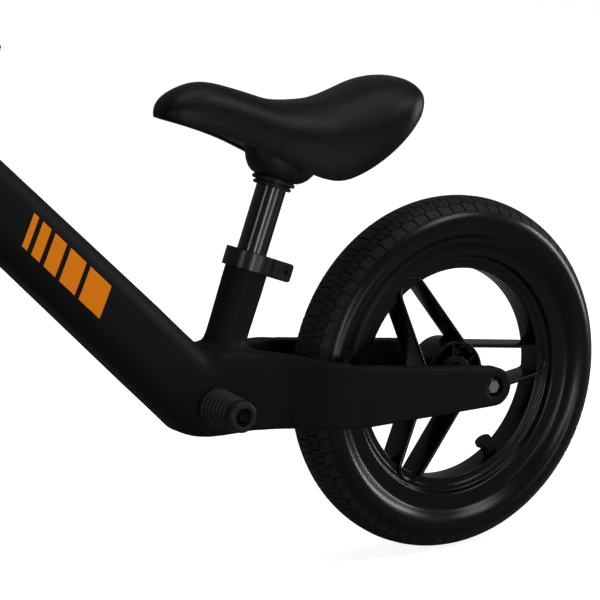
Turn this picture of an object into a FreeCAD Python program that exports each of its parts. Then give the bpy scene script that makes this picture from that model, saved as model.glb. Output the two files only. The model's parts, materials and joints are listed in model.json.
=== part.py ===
import FreeCAD, Part
import math
import os
from types import SimpleNamespace

import Sketcher
from FreeCAD import Placement, Rotation, Vector

# A child's balance bike: cast frame with a rear yoke, cast wheels with pneumatic tyres, sliding
# seat post, footpegs, fork, headset and height-adjustable handlebar.
# +X points forward, +Y to the rider's left, +Z up. Z = 0 is the ground under the tyres, and the
# origin is half-way between the two axles.

SIZES = {
    # layout
    "wheelbase": 610, "head_lean": 20, "fork_rake": 15, "seat_lean": 20.7,
    "tube_rise": 44.1, "bracket_ahead": 249.5, "bracket_drop": 4.7,
    # tyre and inner tube, radii from the axle
    "tyre_radius": 155, "tyre_half": 28, "tyre_belly": 136, "tyre_shoulder": 149.5,
    "shoulder_half": 20.5, "tread_thick": 5.5, "wall_thick": 4, "bead_seat": 108,
    "bead_half": 15.4, "bead_width": 4.5, "tube_ring": 130.5, "tube_section": 15.5,
    "tube_wall": 1.3,
    # cast wheel
    "flange_radius": 117.4, "flange_inner": 106.2, "flange_half": 18.6, "lip_radius": 103.4,
    "lip_half": 13.6, "step_radius": 99.5, "step_half": 12, "barrel_radius": 92.8,
    "barrel_half": 7, "well_radius": 97.2, "hub_radius": 29.5, "hub_half": 14.5,
    "hub_ring": 2.6, "hub_web": 3, "boss_radius": 16.5, "spoke_half": 14,
    "spoke_thick": 3.6, "spoke_reach": 95, "spoke_splay": 7.4, "spoke_tangent": 25,
    "spoke_loop": 12.9, "hub_rib": 2,
    # valve
    "valve_angle": 238, "valve_radius": 3.9, "valve_tip": 82, "cap_radius": 5.4,
    "cap_height": 12, "cap_top": 7.6, "cap_disc": 3,
    # wheel bearings and axle
    "bearing_outer": 13, "bearing_bore": 5, "bearing_width": 8, "race_thick": 1.6,
    "ball_radius": 2.35, "ball_pitch": 9, "spacer_radius": 8, "axle_thread": 3,
    "thread_depth": 15, "washer_radius": 6.2, "washer_thick": 1.2, "bolt_flats": 10,
    "bolt_head": 4, "bolt_clear": 0.3,
    # down tube, half sizes at the bracket and at the head tube
    "low_half_tall": 33, "low_half_wide": 28, "low_corner": 21, "top_half_tall": 28.5,
    "top_half_wide": 24.5, "top_corner": 19, "tube_skin": 3.2, "tube_start": -34,
    # rear yoke
    "arm_outer": 72.5, "arm_thick": 15, "arm_end": 16.9, "yoke_neck": 27, "yoke_rise": 50.3,
    "yoke_root": 209, "yoke_floor": 17, "boss_face": 45, "arm_boss": 15,
    "arm_recess": 8.5, "arm_recess_deep": 8,
    # seat tube, clamp and post
    "seat_tube": 18, "seat_tube_long": 134, "post_radius": 12.7, "post_wall": 2,
    "post_clear": 0.05, "post_low": 70, "post_high": 205, "collar_low": 121.3,
    "collar_tall": 15.8, "collar_thick": 3.3, "ear_reach": 40, "ear_half": 8.5,
    "collar_gap": 3, "clamp_bolt_out": 33.5, "clamp_thread": 2.5, "clamp_head": 4.3,
    "clamp_head_tall": 4, "clamp_sunk": 4.5, "clamp_flats": 8, "clamp_nut": 4,
    # saddle
    "saddle_nose": -13.5, "saddle_long": 253.1, "cover_lip": 6, "cover_hollow": 10, "pan_thick": 4,
    "pan_gap": 0.4, "neck_flare": 18, "neck_tall": 42, "neck_half_wide": 23,
    "neck_low": 193, "neck_ring": 18, "neck_ring_tall": 4,
    # footpeg
    "peg_ahead": 255.4, "peg_up": 9.5, "peg_base": 16.7, "peg_tip": 13, "peg_long": 43,
    "peg_groove": 1.5, "peg_bore": 7.5, "peg_bore_deep": 27, "peg_bolt": 4,
    "peg_bolt_head": 6.5, "peg_bolt_tall": 8, "peg_bolt_long": 34,
    # head tube and headset, heights along the steering axis from the axle line
    "head_low": 218, "head_high": 324, "head_radius": 25, "head_bore": 22, "cup_wall": 1.1,
    "cup_deep": 10, "cup_flange": 3, "headset_bearing": 8, "steerer_radius": 15,
    "steerer_clear": 0.06, "steerer_top": 356, "headset_gap": 0.4,
    "top_cap_tall": 8,
    # fork
    "blade_outer": 52, "blade_thick": 14, "crown_top": 210.2, "crown_half": 30,
    "blade_deep": 21, "fork_arch": 180, "fork_recess_deep": 6,
    # stem and handlebar
    "stem_low": 278, "bar_height": 418, "bar_radius": 11.1, "bar_wall": 1.8,
    "bar_half": 196, "bar_rise": 26, "bar_flat": 42, "bar_slope": 92, "stem_half": 24,
    "stem_deep": 17, "stem_tall": 21, "stem_split": 0.6, "stem_bolt_y": 15,
    "stem_bolt_z": 15.6, "grip_radius": 15, "grip_long": 104, "grip_flange": 20,
    "grip_flange_thick": 4, "grip_knob": 18, "grip_overhang": 8,
}

doc = FreeCAD.newDocument("BalanceBike")
sheet = doc.addObject("Spreadsheet::Sheet", "Sizes")


class Size(float):
    """A length or angle that remembers the spreadsheet expression it came from."""

    def __new__(cls, value, text=None):
        size = float.__new__(cls, value)
        size.text = text or repr(float(value))
        return size

    def combined(self, other, sign, value):
        return Size(value, "(%s %s %s)" % (self.text, sign, Size.text_of(other)))

    @staticmethod
    def text_of(number):
        return number.text if isinstance(number, Size) else repr(float(number))

    def __add__(self, other):
        return self.combined(other, "+", float(self) + float(other))

    def __sub__(self, other):
        return self.combined(other, "-", float(self) - float(other))

    def __mul__(self, other):
        return self.combined(other, "*", float(self) * float(other))

    def __truediv__(self, other):
        return self.combined(other, "/", float(self) / float(other))

    def __neg__(self):
        return Size(-float(self), "(-1 * %s)" % self.text)


for row, (name, number) in enumerate(SIZES.items(), start=1):
    sheet.set("A%d" % row, name)
    sheet.set("B%d" % row, str(number))
    sheet.setAlias("B%d" % row, name)
doc.recompute()
d = SimpleNamespace(**{name: Size(number, "Sizes." + name) for name, number in SIZES.items()})

TO_Y = Rotation(Vector(1, 0, 0), -90)  # turns +Z into +Y
NOWHERE = Placement()
SUBPARTS = []


# ---------------------------------------------------------------- helpers


def bind(thing, prop, size):
    """Set a property to a size and tie it to the spreadsheet."""
    thing.setExpression(prop, Size.text_of(size))


def subpart(thing, label, place=NOWHERE):
    """Name a finished piece and put it in the bike's frame."""
    thing.Label = label
    thing.Placement = place
    SUBPARTS.append(thing)
    return thing


def cylinder(name, radius, height, place=NOWHERE):
    made = doc.addObject("Part::Cylinder", name)
    bind(made, "Radius", radius)
    bind(made, "Height", height)
    made.Placement = place
    return made


def block(name, long, wide, tall, place=NOWHERE):
    made = doc.addObject("Part::Box", name)
    bind(made, "Length", long)
    bind(made, "Width", wide)
    bind(made, "Height", tall)
    made.Placement = place
    return made


def hexagon(name, flats, height, place=NOWHERE):
    made = doc.addObject("Part::Prism", name)
    made.Polygon = 6
    bind(made, "Circumradius", flats / math.sqrt(3))
    bind(made, "Height", height)
    made.Placement = place
    return made


def cut(name, base, tool):
    made = doc.addObject("Part::Cut", name)
    made.Base = base
    made.Tool = tool
    return made


def fuse(name, pieces):
    made = doc.addObject("Part::MultiFuse", name)
    made.Shapes = pieces
    made.Refine = True
    return made


def common(name, pieces):
    made = doc.addObject("Part::MultiCommon", name)
    made.Shapes = pieces
    return made


def group(name, pieces):
    made = doc.addObject("Part::Compound", name)
    made.Links = pieces
    return made


def mirrored(name, source, normal=Vector(0, 1, 0)):
    made = doc.addObject("Part::Mirroring", name)
    made.Source = source
    made.Normal = normal
    return made


def ring(name, outer, inner, height, place=NOWHERE):
    """A plain tube standing on its placement's XY plane."""
    over = 1.0
    drill = cylinder(name + "_hole", inner, height + 2 * over, Placement(Vector(0, 0, -over), Rotation()))
    made = cut(name, cylinder(name + "_body", outer, height), drill)
    made.Placement = place
    return made


def new_body(name):
    return doc.addObject("PartDesign::Body", name)


def new_sketch(body, role, name, offset=NOWHERE):
    sketch = body.newObject("Sketcher::SketchObject", name)
    plane = next(feature for feature in body.Origin.OriginFeatures if feature.Role == role)
    sketch.AttachmentSupport = [(plane, "")]
    sketch.MapMode = "FlatFace"
    sketch.AttachmentOffset = offset
    return sketch


def fix_point(sketch, geometry, end, x, y):
    """Hold one end of a sketch line at x, y, both tied to the spreadsheet."""
    for kind, value, axis in (("DistanceX", x, -2), ("DistanceY", y, -1)):
        if abs(float(value)) < 1e-9:
            sketch.addConstraint(Sketcher.Constraint("PointOnObject", geometry, end, axis))
            continue
        index = sketch.addConstraint(Sketcher.Constraint(kind, -1, 1, geometry, end, float(value)))
        if isinstance(value, Size):
            sketch.setExpression("Constraints[%d]" % index, value.text)


def arc_through(start, middle, end):
    """A counter-clockwise sketch arc over three points."""
    circle = Part.Circle(start, middle, end)
    centre = circle.Center
    first, last = start - centre, end - centre
    if (middle - start).cross(end - middle).z < 0:
        first, last = last, first
    low = math.atan2(first.y, first.x)
    high = math.atan2(last.y, last.x)
    if high <= low:
        high += 2 * math.pi
    return Part.ArcOfCircle(Part.Circle(centre, Vector(0, 0, 1), circle.Radius), low, high)


def draw(sketch, corners):
    """Draw a closed outline. A corner is (x, y), or (x, y, (mx, my)) where an arc through
    (mx, my) leads to the next corner."""
    count = len(corners)
    for index, corner in enumerate(corners):
        following = corners[(index + 1) % count]
        start = Vector(float(corner[0]), float(corner[1]), 0)
        end = Vector(float(following[0]), float(following[1]), 0)
        if len(corner) == 3:
            middle = Vector(float(corner[2][0]), float(corner[2][1]), 0)
            sketch.addGeometry(arc_through(start, middle, end), False)
        else:
            sketch.addGeometry(Part.LineSegment(start, end), False)
    for index, corner in enumerate(corners):
        geometry = sketch.Geometry[index]
        start = Vector(float(corner[0]), float(corner[1]), 0)
        first = 1 if geometry.StartPoint.distanceToPoint(start) < 1e-6 else 2
        before = sketch.Geometry[index - 1]
        last = 2 if before.EndPoint.distanceToPoint(start) < 1e-6 else 1
        fix_point(sketch, index, first, corner[0], corner[1])
        link = Sketcher.Constraint("Coincident", (index - 1) % count, last, index, first)
        sketch.addConstraint(link)
    return sketch


def pad_both_ways(body, sketch, name, length):
    pad = body.newObject("PartDesign::Pad", name)
    pad.Profile = sketch
    pad.Midplane = True
    bind(pad, "Length", length)
    return pad


def turned(body, sketch, name, kind="PartDesign::Revolution"):
    """Turn a profile (x = radius, y = along the axle) round the body's Y axis."""
    made = body.newObject(kind, name)
    made.Profile = sketch
    made.ReferenceAxis = (sketch, ["V_Axis"])
    made.Angle = 360
    return made


def around(body, feature, name, count):
    pattern = body.newObject("PartDesign::PolarPattern", name)
    pattern.Originals = [feature]
    pattern.Axis = (next(f for f in body.Origin.OriginFeatures if f.Role == "Y_Axis"), [""])
    pattern.Angle = 360
    pattern.Occurrences = count
    body.Tip = pattern
    return pattern


def turned_piece(name, corners):
    body = new_body(name)
    turned(body, draw(new_sketch(body, "XY_Plane", name + "_profile"), corners), name + "_turn")
    return body


def both_sides(corners):
    """Mirror a half profile, given from the middle outwards, to the negative side."""
    other = []
    for index in range(len(corners) - 1, -1, -1):
        corner = corners[index]
        leading = corners[index - 1] if index > 0 else ()
        flipped = (corner[0], -corner[1])
        if len(leading) == 3:
            flipped += ((leading[2][0], -leading[2][1]),)
        other.append(flipped)
    return other


# ---------------------------------------------------------------- placements

ground = d.tyre_radius
REAR_AXLE = Placement(Vector(-d.wheelbase / 2, 0, ground), Rotation())
FRONT_AXLE = Placement(Vector(d.wheelbase / 2, 0, ground), Rotation())

BRACKET = Vector(d.bracket_ahead - d.wheelbase / 2, 0, ground)
SEAT = Placement(BRACKET, Rotation(Vector(0, 1, 0), -d.seat_lean))
TUBE = Placement(BRACKET + Vector(0, 0, d.bracket_drop), Rotation(Vector(0, 1, 0), 90 - d.tube_rise))

lean = math.radians(d.head_lean)
steer_foot = Vector(d.wheelbase / 2 - d.fork_rake * math.cos(lean), 0, ground - d.fork_rake * math.sin(lean))
STEER = Placement(steer_foot, Rotation(Vector(0, 1, 0), -d.head_lean))


def lifted(place, along):
    """The same placement, moved along its own Z axis."""
    return place.multiply(Placement(Vector(0, 0, float(along)), Rotation()))


# ---------------------------------------------------------------- wheels


def leg_ends(side):
    """Hub end and rim end of a spoke leg's centre line, for the spoke that points along +X."""
    outer_angle = side * math.radians(d.spoke_splay)
    outer = Vector(math.cos(outer_angle), math.sin(outer_angle), 0) * float(d.spoke_reach)
    turn = math.acos(d.spoke_tangent / d.spoke_reach)
    inner_angle = outer_angle + side * turn
    inner = Vector(math.cos(inner_angle), math.sin(inner_angle), 0) * float(d.spoke_tangent)
    return inner, outer


def spoke_outline():
    """U-shaped rib: two legs from the hub that meet in a round loop at the rim."""
    inner, outer = leg_ends(1)
    along = (outer - inner).normalize()
    across = Vector(along.y, -along.x, 0)  # from the leg towards the spoke's middle line
    half = float(d.spoke_thick) / 2
    loop = float(d.spoke_loop)
    # the loop's centre lies on the middle line, one loop radius from each leg
    centre = Vector((loop + outer.dot(across)) / across.x, 0, 0)
    touch = centre - across * loop
    hub_out = inner - across * half
    hub_in = inner + across * half
    loop_out = touch - across * half
    loop_in = touch + across * half
    reach = centre.x + loop
    return [
        (hub_out.x, hub_out.y),
        (loop_out.x, loop_out.y, (reach + half, 0)),
        (loop_out.x, -loop_out.y),
        (hub_out.x, -hub_out.y),
        (hub_in.x, -hub_in.y),
        (loop_in.x, -loop_in.y, (reach - half, 0)),
        (loop_in.x, loop_in.y),
        (hub_in.x, hub_in.y),
    ]


def wheel_rim(name):
    body = new_body(name + "_rim")
    half_rim = [
        (d.well_radius, d.barrel_half),
        (d.bead_seat, d.bead_half - 3),
        (d.bead_seat, d.bead_half),
        (d.flange_radius, d.bead_half),
        (d.flange_radius, d.flange_half),
        (d.flange_inner, d.flange_half),
        (d.lip_radius, d.lip_half),
        (d.step_radius, d.step_half),
        (d.barrel_radius, d.barrel_half),
    ]
    outline = half_rim + both_sides(half_rim)
    turned(body, draw(new_sketch(body, "XY_Plane", name + "_rim_outline"), outline), name + "_rim_turn")
    return body


def wheel_hub(name):
    body = new_body(name + "_hub")
    seat = d.hub_half - d.bearing_width
    ring_in = d.hub_radius - d.hub_ring
    half_hub = [
        (d.bearing_outer - 2, seat),
        (d.bearing_outer, seat),
        (d.bearing_outer, d.hub_half),
        (d.boss_radius, d.hub_half),
        (d.boss_radius, d.hub_web),
        (ring_in, d.hub_web),
        (ring_in, d.hub_half),
        (d.hub_radius, d.hub_half),
    ]
    outline = half_hub + both_sides(half_hub)
    turned(body, draw(new_sketch(body, "XY_Plane", name + "_hub_outline"), outline), name + "_hub_turn")
    rib_in = d.boss_radius - 0.5
    rib_out = ring_in + 0.5
    rib = [
        (rib_in, -d.hub_rib / 2), (rib_out, -d.hub_rib / 2),
        (rib_out, d.hub_rib / 2), (rib_in, d.hub_rib / 2),
    ]
    rib_pad = pad_both_ways(body, draw(new_sketch(body, "XZ_Plane", name + "_rib"), rib),
                            name + "_rib_pad", (d.hub_half - 2.5) * 2)
    around(body, rib_pad, name + "_ribs", 6)
    return body


def spoke_room(name):
    """Everything inside the rim's inner wall."""
    open_half = d.spoke_half + 1
    half = [
        (d.barrel_radius, d.barrel_half),
        (d.step_radius, d.step_half),
        (d.lip_radius, d.lip_half),
        (d.lip_radius + 0.784, open_half),
        (0, open_half),
    ]
    return turned_piece(name + "_spoke_room", half + both_sides(half))


def cast_wheel(name):
    """Rim, three looped spokes and hub, cut to meet face to face."""
    rim = wheel_rim(name)
    core = cylinder(name + "_hub_room", d.hub_radius, d.hub_half * 2 + 2, Placement(
        Vector(0, -d.hub_half - 1, 0), TO_Y))
    room = cut(name + "_between", spoke_room(name), core)
    spokes = []
    for index in range(3):
        body = new_body("%s_spoke%d" % (name, index))
        spoke = draw(new_sketch(body, "XZ_Plane", "%s_spoke_outline%d" % (name, index)), spoke_outline())
        pad_both_ways(body, spoke, "%s_spoke_pad%d" % (name, index), d.spoke_half * 2)
        body.Placement = Placement(Vector(), Rotation(Vector(0, 1, 0), 180 - 120 * index))
        spokes.append(common("%s_spoke_trimmed%d" % (name, index), [body, room]))
    valve_hole = cylinder(name + "_valve_hole", d.valve_radius, d.bead_seat, valve_place(0))
    drilled = cut(name + "_rim_drilled", rim, valve_hole)
    return group(name + "_cast", [drilled, wheel_hub(name)] + spokes)


def valve_place(radius):
    """A placement whose Z axis points from the axle towards the valve."""
    angle = math.radians(d.valve_angle)
    outward = Vector(math.cos(angle), 0, math.sin(angle))
    return Placement(outward * float(radius), Rotation(Vector(0, 0, 1), outward))


def tyre_outline():
    """Half section of the tyre, from the crown's inside round to the crown's outside."""
    bead_in = d.bead_half - d.bead_width
    inner_belly = d.tyre_half - d.wall_thick
    return [
        (d.tyre_radius - d.tread_thick, 0, (d.tyre_radius - 7.3, 9.8)),
        (d.tyre_shoulder - 4, d.shoulder_half - 4, (d.tyre_belly + 4, inner_belly - 1.2)),
        (d.tyre_belly, inner_belly, (d.flange_radius + 6, 19.5)),
        (d.flange_radius - 2, bead_in + 1),
        (d.bead_seat, bead_in),
        (d.bead_seat, d.bead_half),
        (d.flange_radius, d.bead_half),
        (d.flange_radius + 0.8, d.flange_half + 1.2, (d.flange_radius + 8.5, 25.4)),
        (d.tyre_belly, d.tyre_half, (d.tyre_belly + 8.2, 26.2)),
        (d.tyre_shoulder, d.shoulder_half, (d.tyre_radius - 1.5, 11)),
        (d.tyre_radius, 0),
    ]


def whole_tyre_outline():
    half = tyre_outline()
    other = both_sides(half)[1:-1]
    whole = half[:-1]
    mirrored_arc = (half[-2][2][0], -half[-2][2][1])
    return whole + [(half[-1][0], half[-1][1], mirrored_arc)] + other


def bearing_ring(name, outer, inner, side):
    low = d.hub_half - d.bearing_width
    place = Placement(Vector(0, side * (low if side > 0 else d.hub_half), 0), TO_Y)
    return ring(name, outer, inner, d.bearing_width, place)


def make_wheel(end, axle, floor, face):
    """All pieces of one wheel. floor is the axle bolt's seat and face the inside of the arm,
    both measured from the middle of the wheel."""
    subpart(cast_wheel(end), end + "_wheel", axle)
    subpart(turned_piece(end + "_casing", whole_tyre_outline()), end + "_tyre", axle)

    outer = doc.addObject("Part::Torus", end + "_tube_outer")
    inner = doc.addObject("Part::Torus", end + "_tube_inner")
    for torus, section in ((outer, d.tube_section), (inner, d.tube_section - d.tube_wall)):
        bind(torus, "Radius1", d.tube_ring)
        bind(torus, "Radius2", section)
        torus.Placement = Placement(Vector(), TO_Y)
    subpart(cut(end + "_tube", outer, inner), end + "_inner_tube", axle)

    tip = d.valve_tip
    stem = cylinder(end + "_stem", d.valve_radius, d.tube_ring - d.tube_section - tip, valve_place(tip))
    subpart(group(end + "_valve", [stem]), end + "_valve_stem", axle)
    cap = cylinder(end + "_cap_sleeve", d.cap_radius, d.cap_height, valve_place(tip - 2))
    disc = cylinder(end + "_cap_disc", d.cap_top, d.cap_disc, valve_place(tip - 2))
    hole = cylinder(end + "_cap_hole", d.valve_radius, d.cap_height, valve_place(tip))
    subpart(cut(end + "_cap", fuse(end + "_cap_solid", [cap, disc]), hole), end + "_valve_cap", axle)

    sides = (1, -1)
    race_in = d.bearing_bore + d.race_thick
    race_out = d.bearing_outer - d.race_thick
    outers = [bearing_ring(end + "_outer%d" % s, d.bearing_outer, race_out, s) for s in sides]
    subpart(group(end + "_outers", outers), end + "_bearing_outer_races", axle)
    inners = [bearing_ring(end + "_inner%d" % s, race_in, d.bearing_bore, s) for s in sides]
    subpart(group(end + "_inners", inners), end + "_bearing_inner_races", axle)
    balls = []
    ball_count = 8
    for side in sides:
        for index in range(ball_count):
            ball = doc.addObject("Part::Sphere", end + "_ball")
            bind(ball, "Radius", d.ball_radius)
            angle = 2 * math.pi * index / ball_count
            middle = side * (d.hub_half - d.bearing_width / 2)
            ball.Placement.Base = Vector(
                d.ball_pitch * math.cos(angle), middle, d.ball_pitch * math.sin(angle))
            balls.append(ball)
    subpart(group(end + "_balls", balls), end + "_bearing_balls", axle)

    rod = cylinder(end + "_rod", d.bearing_bore, face * 2, Placement(Vector(0, -face, 0), TO_Y))
    left_end = Placement(Vector(0, face - d.thread_depth, 0), TO_Y)
    right_end = Placement(Vector(0, -face, 0), TO_Y)
    threads = [
        cylinder(end + "_thread1", d.axle_thread, d.thread_depth, left_end),
        cylinder(end + "_thread2", d.axle_thread, d.thread_depth, right_end),
    ]
    subpart(cut(end + "_drilled", rod, fuse(end + "_threads", threads)), end + "_axle", axle)

    spacers = [
        ring(end + "_spacer1", d.spacer_radius, d.bearing_bore, face - d.hub_half,
             Placement(Vector(0, d.hub_half, 0), TO_Y)),
        ring(end + "_spacer2", d.spacer_radius, d.bearing_bore, face - d.hub_half,
             Placement(Vector(0, -face, 0), TO_Y)),
    ]
    # the spacer only meets the inner race, so its hub end is turned down
    relieved = []
    for index, (spacer, start) in enumerate(zip(spacers, (d.hub_half, -d.hub_half - 1))):
        relief = ring(end + "_relief%d" % index, d.spacer_radius + 1, race_in, 1,
                      Placement(Vector(0, start, 0), TO_Y))
        relieved.append(cut(end + "_spacer_cut%d" % index, spacer, relief))
    subpart(group(end + "_spacers", relieved), end + "_axle_spacers", axle)

    washer = ring(end + "_washer", d.washer_radius, d.axle_thread + d.bolt_clear, d.washer_thick,
                  Placement(Vector(0, floor, 0), TO_Y))
    subpart(group(end + "_washers", [washer, mirrored(end + "_washer_right", washer)]),
            end + "_axle_washers", axle)
    seat = floor + d.washer_thick
    head = hexagon(end + "_head", d.bolt_flats, d.bolt_head, Placement(Vector(0, seat, 0), TO_Y))
    shank_start = face - d.thread_depth + 1
    shank = cylinder(end + "_shank", d.axle_thread, seat - shank_start, Placement(
        Vector(0, shank_start, 0), TO_Y))
    bolt = fuse(end + "_bolt", [head, shank])
    subpart(group(end + "_bolts", [bolt, mirrored(end + "_bolt_right", bolt)]), end + "_axle_bolts", axle)


make_wheel("rear", REAR_AXLE, d.arm_outer - d.arm_recess_deep, d.boss_face)
blade_inner = d.blade_outer - d.blade_thick
make_wheel("front", FRONT_AXLE, d.blade_outer - d.fork_recess_deep, blade_inner)


# ---------------------------------------------------------------- frame casting


def rounded_rectangle(half_x, half_y, corner):
    """Outline with round corners, centred on the sketch's origin."""
    near = corner * (1 - math.sqrt(0.5))
    flat_x = half_x - corner
    flat_y = half_y - corner
    corners = []
    for sign_x, sign_y in ((1, 1), (-1, 1), (-1, -1), (1, -1)):
        arc_middle = (sign_x * float(half_x - near), sign_y * float(half_y - near))
        first = (half_x, flat_y) if sign_x * sign_y > 0 else (flat_x, half_y)
        second = (flat_x, half_y) if sign_x * sign_y > 0 else (half_x, flat_y)
        signed = lambda pair: (pair[0] if sign_x > 0 else -pair[0], pair[1] if sign_y > 0 else -pair[1])
        corners.append(signed(first) + (arc_middle,))
        corners.append(signed(second))
    return corners


def loft_between(body, name, kind, sections):
    """sections: (height, half tall, half wide, corner) along the body's Z axis."""
    sketches = []
    for index, (height, tall, wide, corner) in enumerate(sections):
        offset = Placement(Vector(0, 0, float(height)), Rotation())
        sketch = new_sketch(body, "XY_Plane", "%s_section%d" % (name, index), offset)
        sketches.append(draw(sketch, rounded_rectangle(tall, wide, corner)))
    made = body.newObject(kind, name)
    made.Profile = sketches[0]
    made.Sections = sketches[1:]
    return made


def steering_point(along):
    """A point on the steering axis."""
    return STEER.multVec(Vector(0, 0, float(along)))


def down_tube():
    """Tapered rounded tube from the bracket to the head tube, with a cast hollow."""
    length = (steering_point((d.head_low + d.head_high) / 2) - TUBE.Base).Length
    body = new_body("down_tube")
    low = (d.low_half_tall, d.low_half_wide, d.low_corner)
    top = (d.top_half_tall, d.top_half_wide, d.top_corner)
    loft_between(body, "down_tube_skin", "PartDesign::AdditiveLoft", [(d.tube_start,) + low, (length,) + top])
    skin = d.tube_skin
    low_core = tuple(size - skin for size in low)
    top_core = tuple(size - skin for size in top)
    core_start = 60.0
    loft_between(body, "down_tube_core", "PartDesign::SubtractiveLoft",
                 [(core_start,) + low_core, (length + 1,) + top_core])
    body.Placement = TUBE
    foot = new_body("tube_foot_side")
    pad_both_ways(foot, draw(new_sketch(foot, "XZ_Plane", "tube_foot_sketch"), foot_outline()),
                  "tube_foot_pad", d.low_half_wide * 3)
    foot.Placement = REAR_AXLE
    return common("down_tube_trimmed", [body, foot])


def foot_outline():
    """Room for the down tube from the side: flat floor, round front corner, open upwards."""
    run = d.bracket_ahead
    far = 460.0
    return [
        (d.yoke_root + 5, -d.yoke_floor),
        (run + 11.5, -d.yoke_floor, (run + 25.6, -14.2)),
        (run + 37.5, -6.5),
        (run + 37.5 + far, far - 6.5),
        (d.yoke_root + 5, far),
    ]


def plan_outline():
    """The yoke seen from above: a neck that forks into two arms."""
    arm_in = d.arm_outer - d.arm_thick
    root = d.yoke_root
    back = -d.arm_end - 2
    half = [
        (root, 0, (root - 3.2, 7.6)),
        (root - 12, 11.5),
        (root - 56, d.arm_outer - 22.5, (root - 69.5, d.arm_outer - 16.4)),
        (root - 84, arm_in),
        (back, arm_in),
        (back, d.arm_outer),
        (root - 83, d.arm_outer, (root - 62, d.arm_outer - 4.2)),
        (root - 46, d.arm_outer - 13.2),
        (root - 20, d.arm_outer - 34.2, (root - 7, d.yoke_neck + 4.4)),
        (root + 11, d.yoke_neck),
        (root + 44, d.yoke_neck),
    ]
    other = both_sides(half)[:-1]
    return half + other


def side_outline():
    """The yoke seen from the side: deep at the bracket, narrow at the axle."""
    end = d.arm_end
    floor = -d.yoke_floor
    run = d.bracket_ahead
    return [
        (0, end),
        (50, end + 6.5),
        (136, end + 18),
        (186, end + 28.4),
        (d.yoke_root + 5, d.yoke_rise),
        (run + 8, d.yoke_rise + 6),
        (run + 42, 8),
        (run + 37.5, -6.5, (run + 25.6, -14.2)),
        (run + 11.5, floor),
        (0, -end, (-end, 0)),
    ]


def yoke():
    plan = new_body("yoke_plan")
    reach = 260.0
    sketch = draw(new_sketch(plan, "XY_Plane", "yoke_plan_sketch"), plan_outline())
    pad_both_ways(plan, sketch, "yoke_plan_pad", Size(reach))
    side = new_body("yoke_side")
    sketch = draw(new_sketch(side, "XZ_Plane", "yoke_side_sketch"), side_outline())
    pad_both_ways(side, sketch, "yoke_side_pad", Size(reach))
    made = common("yoke_block", [plan, side])
    made.Placement = REAR_AXLE
    return made


def both(make):
    """Make a piece for the left side and for the right side."""
    return [make("left", 1), make("right", -1)]


def across(name, radius, start, length, side, base):
    """A cylinder parallel to the axle that starts at distance start from the middle plane."""
    origin = base + Vector(0, float(start) if side > 0 else -float(start + length), 0)
    return cylinder(name, radius, length, Placement(origin, TO_Y))


PEG = Vector(d.peg_ahead - d.wheelbase / 2, 0, ground + d.peg_up)


def frame_casting():
    seat_tube = cylinder("seat_tube", d.seat_tube, d.seat_tube_long, SEAT)
    head_tube = cylinder("head_tube", d.head_radius, d.head_high - d.head_low, lifted(STEER, d.head_low))
    bosses = both(lambda side, sign: across(
        "arm_boss_" + side, d.arm_boss, d.boss_face, d.arm_outer - d.boss_face - 2, sign, REAR_AXLE.Base))
    pads = both(lambda side, sign: across(
        "peg_pad_" + side, d.peg_base + 1.5, 18, d.low_half_wide - 18, sign, PEG))
    solid = fuse("frame_solid", [down_tube(), yoke(), seat_tube, head_tube] + bosses + pads)

    over = 1.0
    seat_bore = cylinder("seat_bore", d.post_radius + d.post_clear, d.seat_tube_long - 14, lifted(SEAT, 15))
    slot = block("seat_slot", d.seat_tube + 2, d.collar_gap, 36, SEAT.multiply(Placement(
        Vector(-d.seat_tube - 2, -d.collar_gap / 2, d.seat_tube_long - 35), Rotation())))
    head_bore = cylinder("head_bore", d.head_bore, d.head_high - d.head_low + 2 * over,
                         lifted(STEER, d.head_low - over))
    floor = d.arm_outer - d.arm_recess_deep
    holes = both(lambda side, sign: across(
        "axle_hole_" + side, d.axle_thread + d.bolt_clear, d.boss_face - over,
        d.arm_outer - d.boss_face + 2 * over, sign, REAR_AXLE.Base))
    recesses = both(lambda side, sign: across(
        "axle_recess_" + side, d.arm_recess, floor, d.arm_recess_deep + over, sign, REAR_AXLE.Base))
    peg_holes = both(lambda side, sign: across(
        "peg_hole_" + side, d.peg_bolt, 9, d.low_half_wide - 9 + over, sign, PEG))
    tools = fuse("frame_cuts", [seat_bore, slot, head_bore] + holes + recesses + peg_holes)
    return cut("frame_drilled", solid, tools)


subpart(frame_casting(), "frame")


# ---------------------------------------------------------------- clamps


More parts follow.
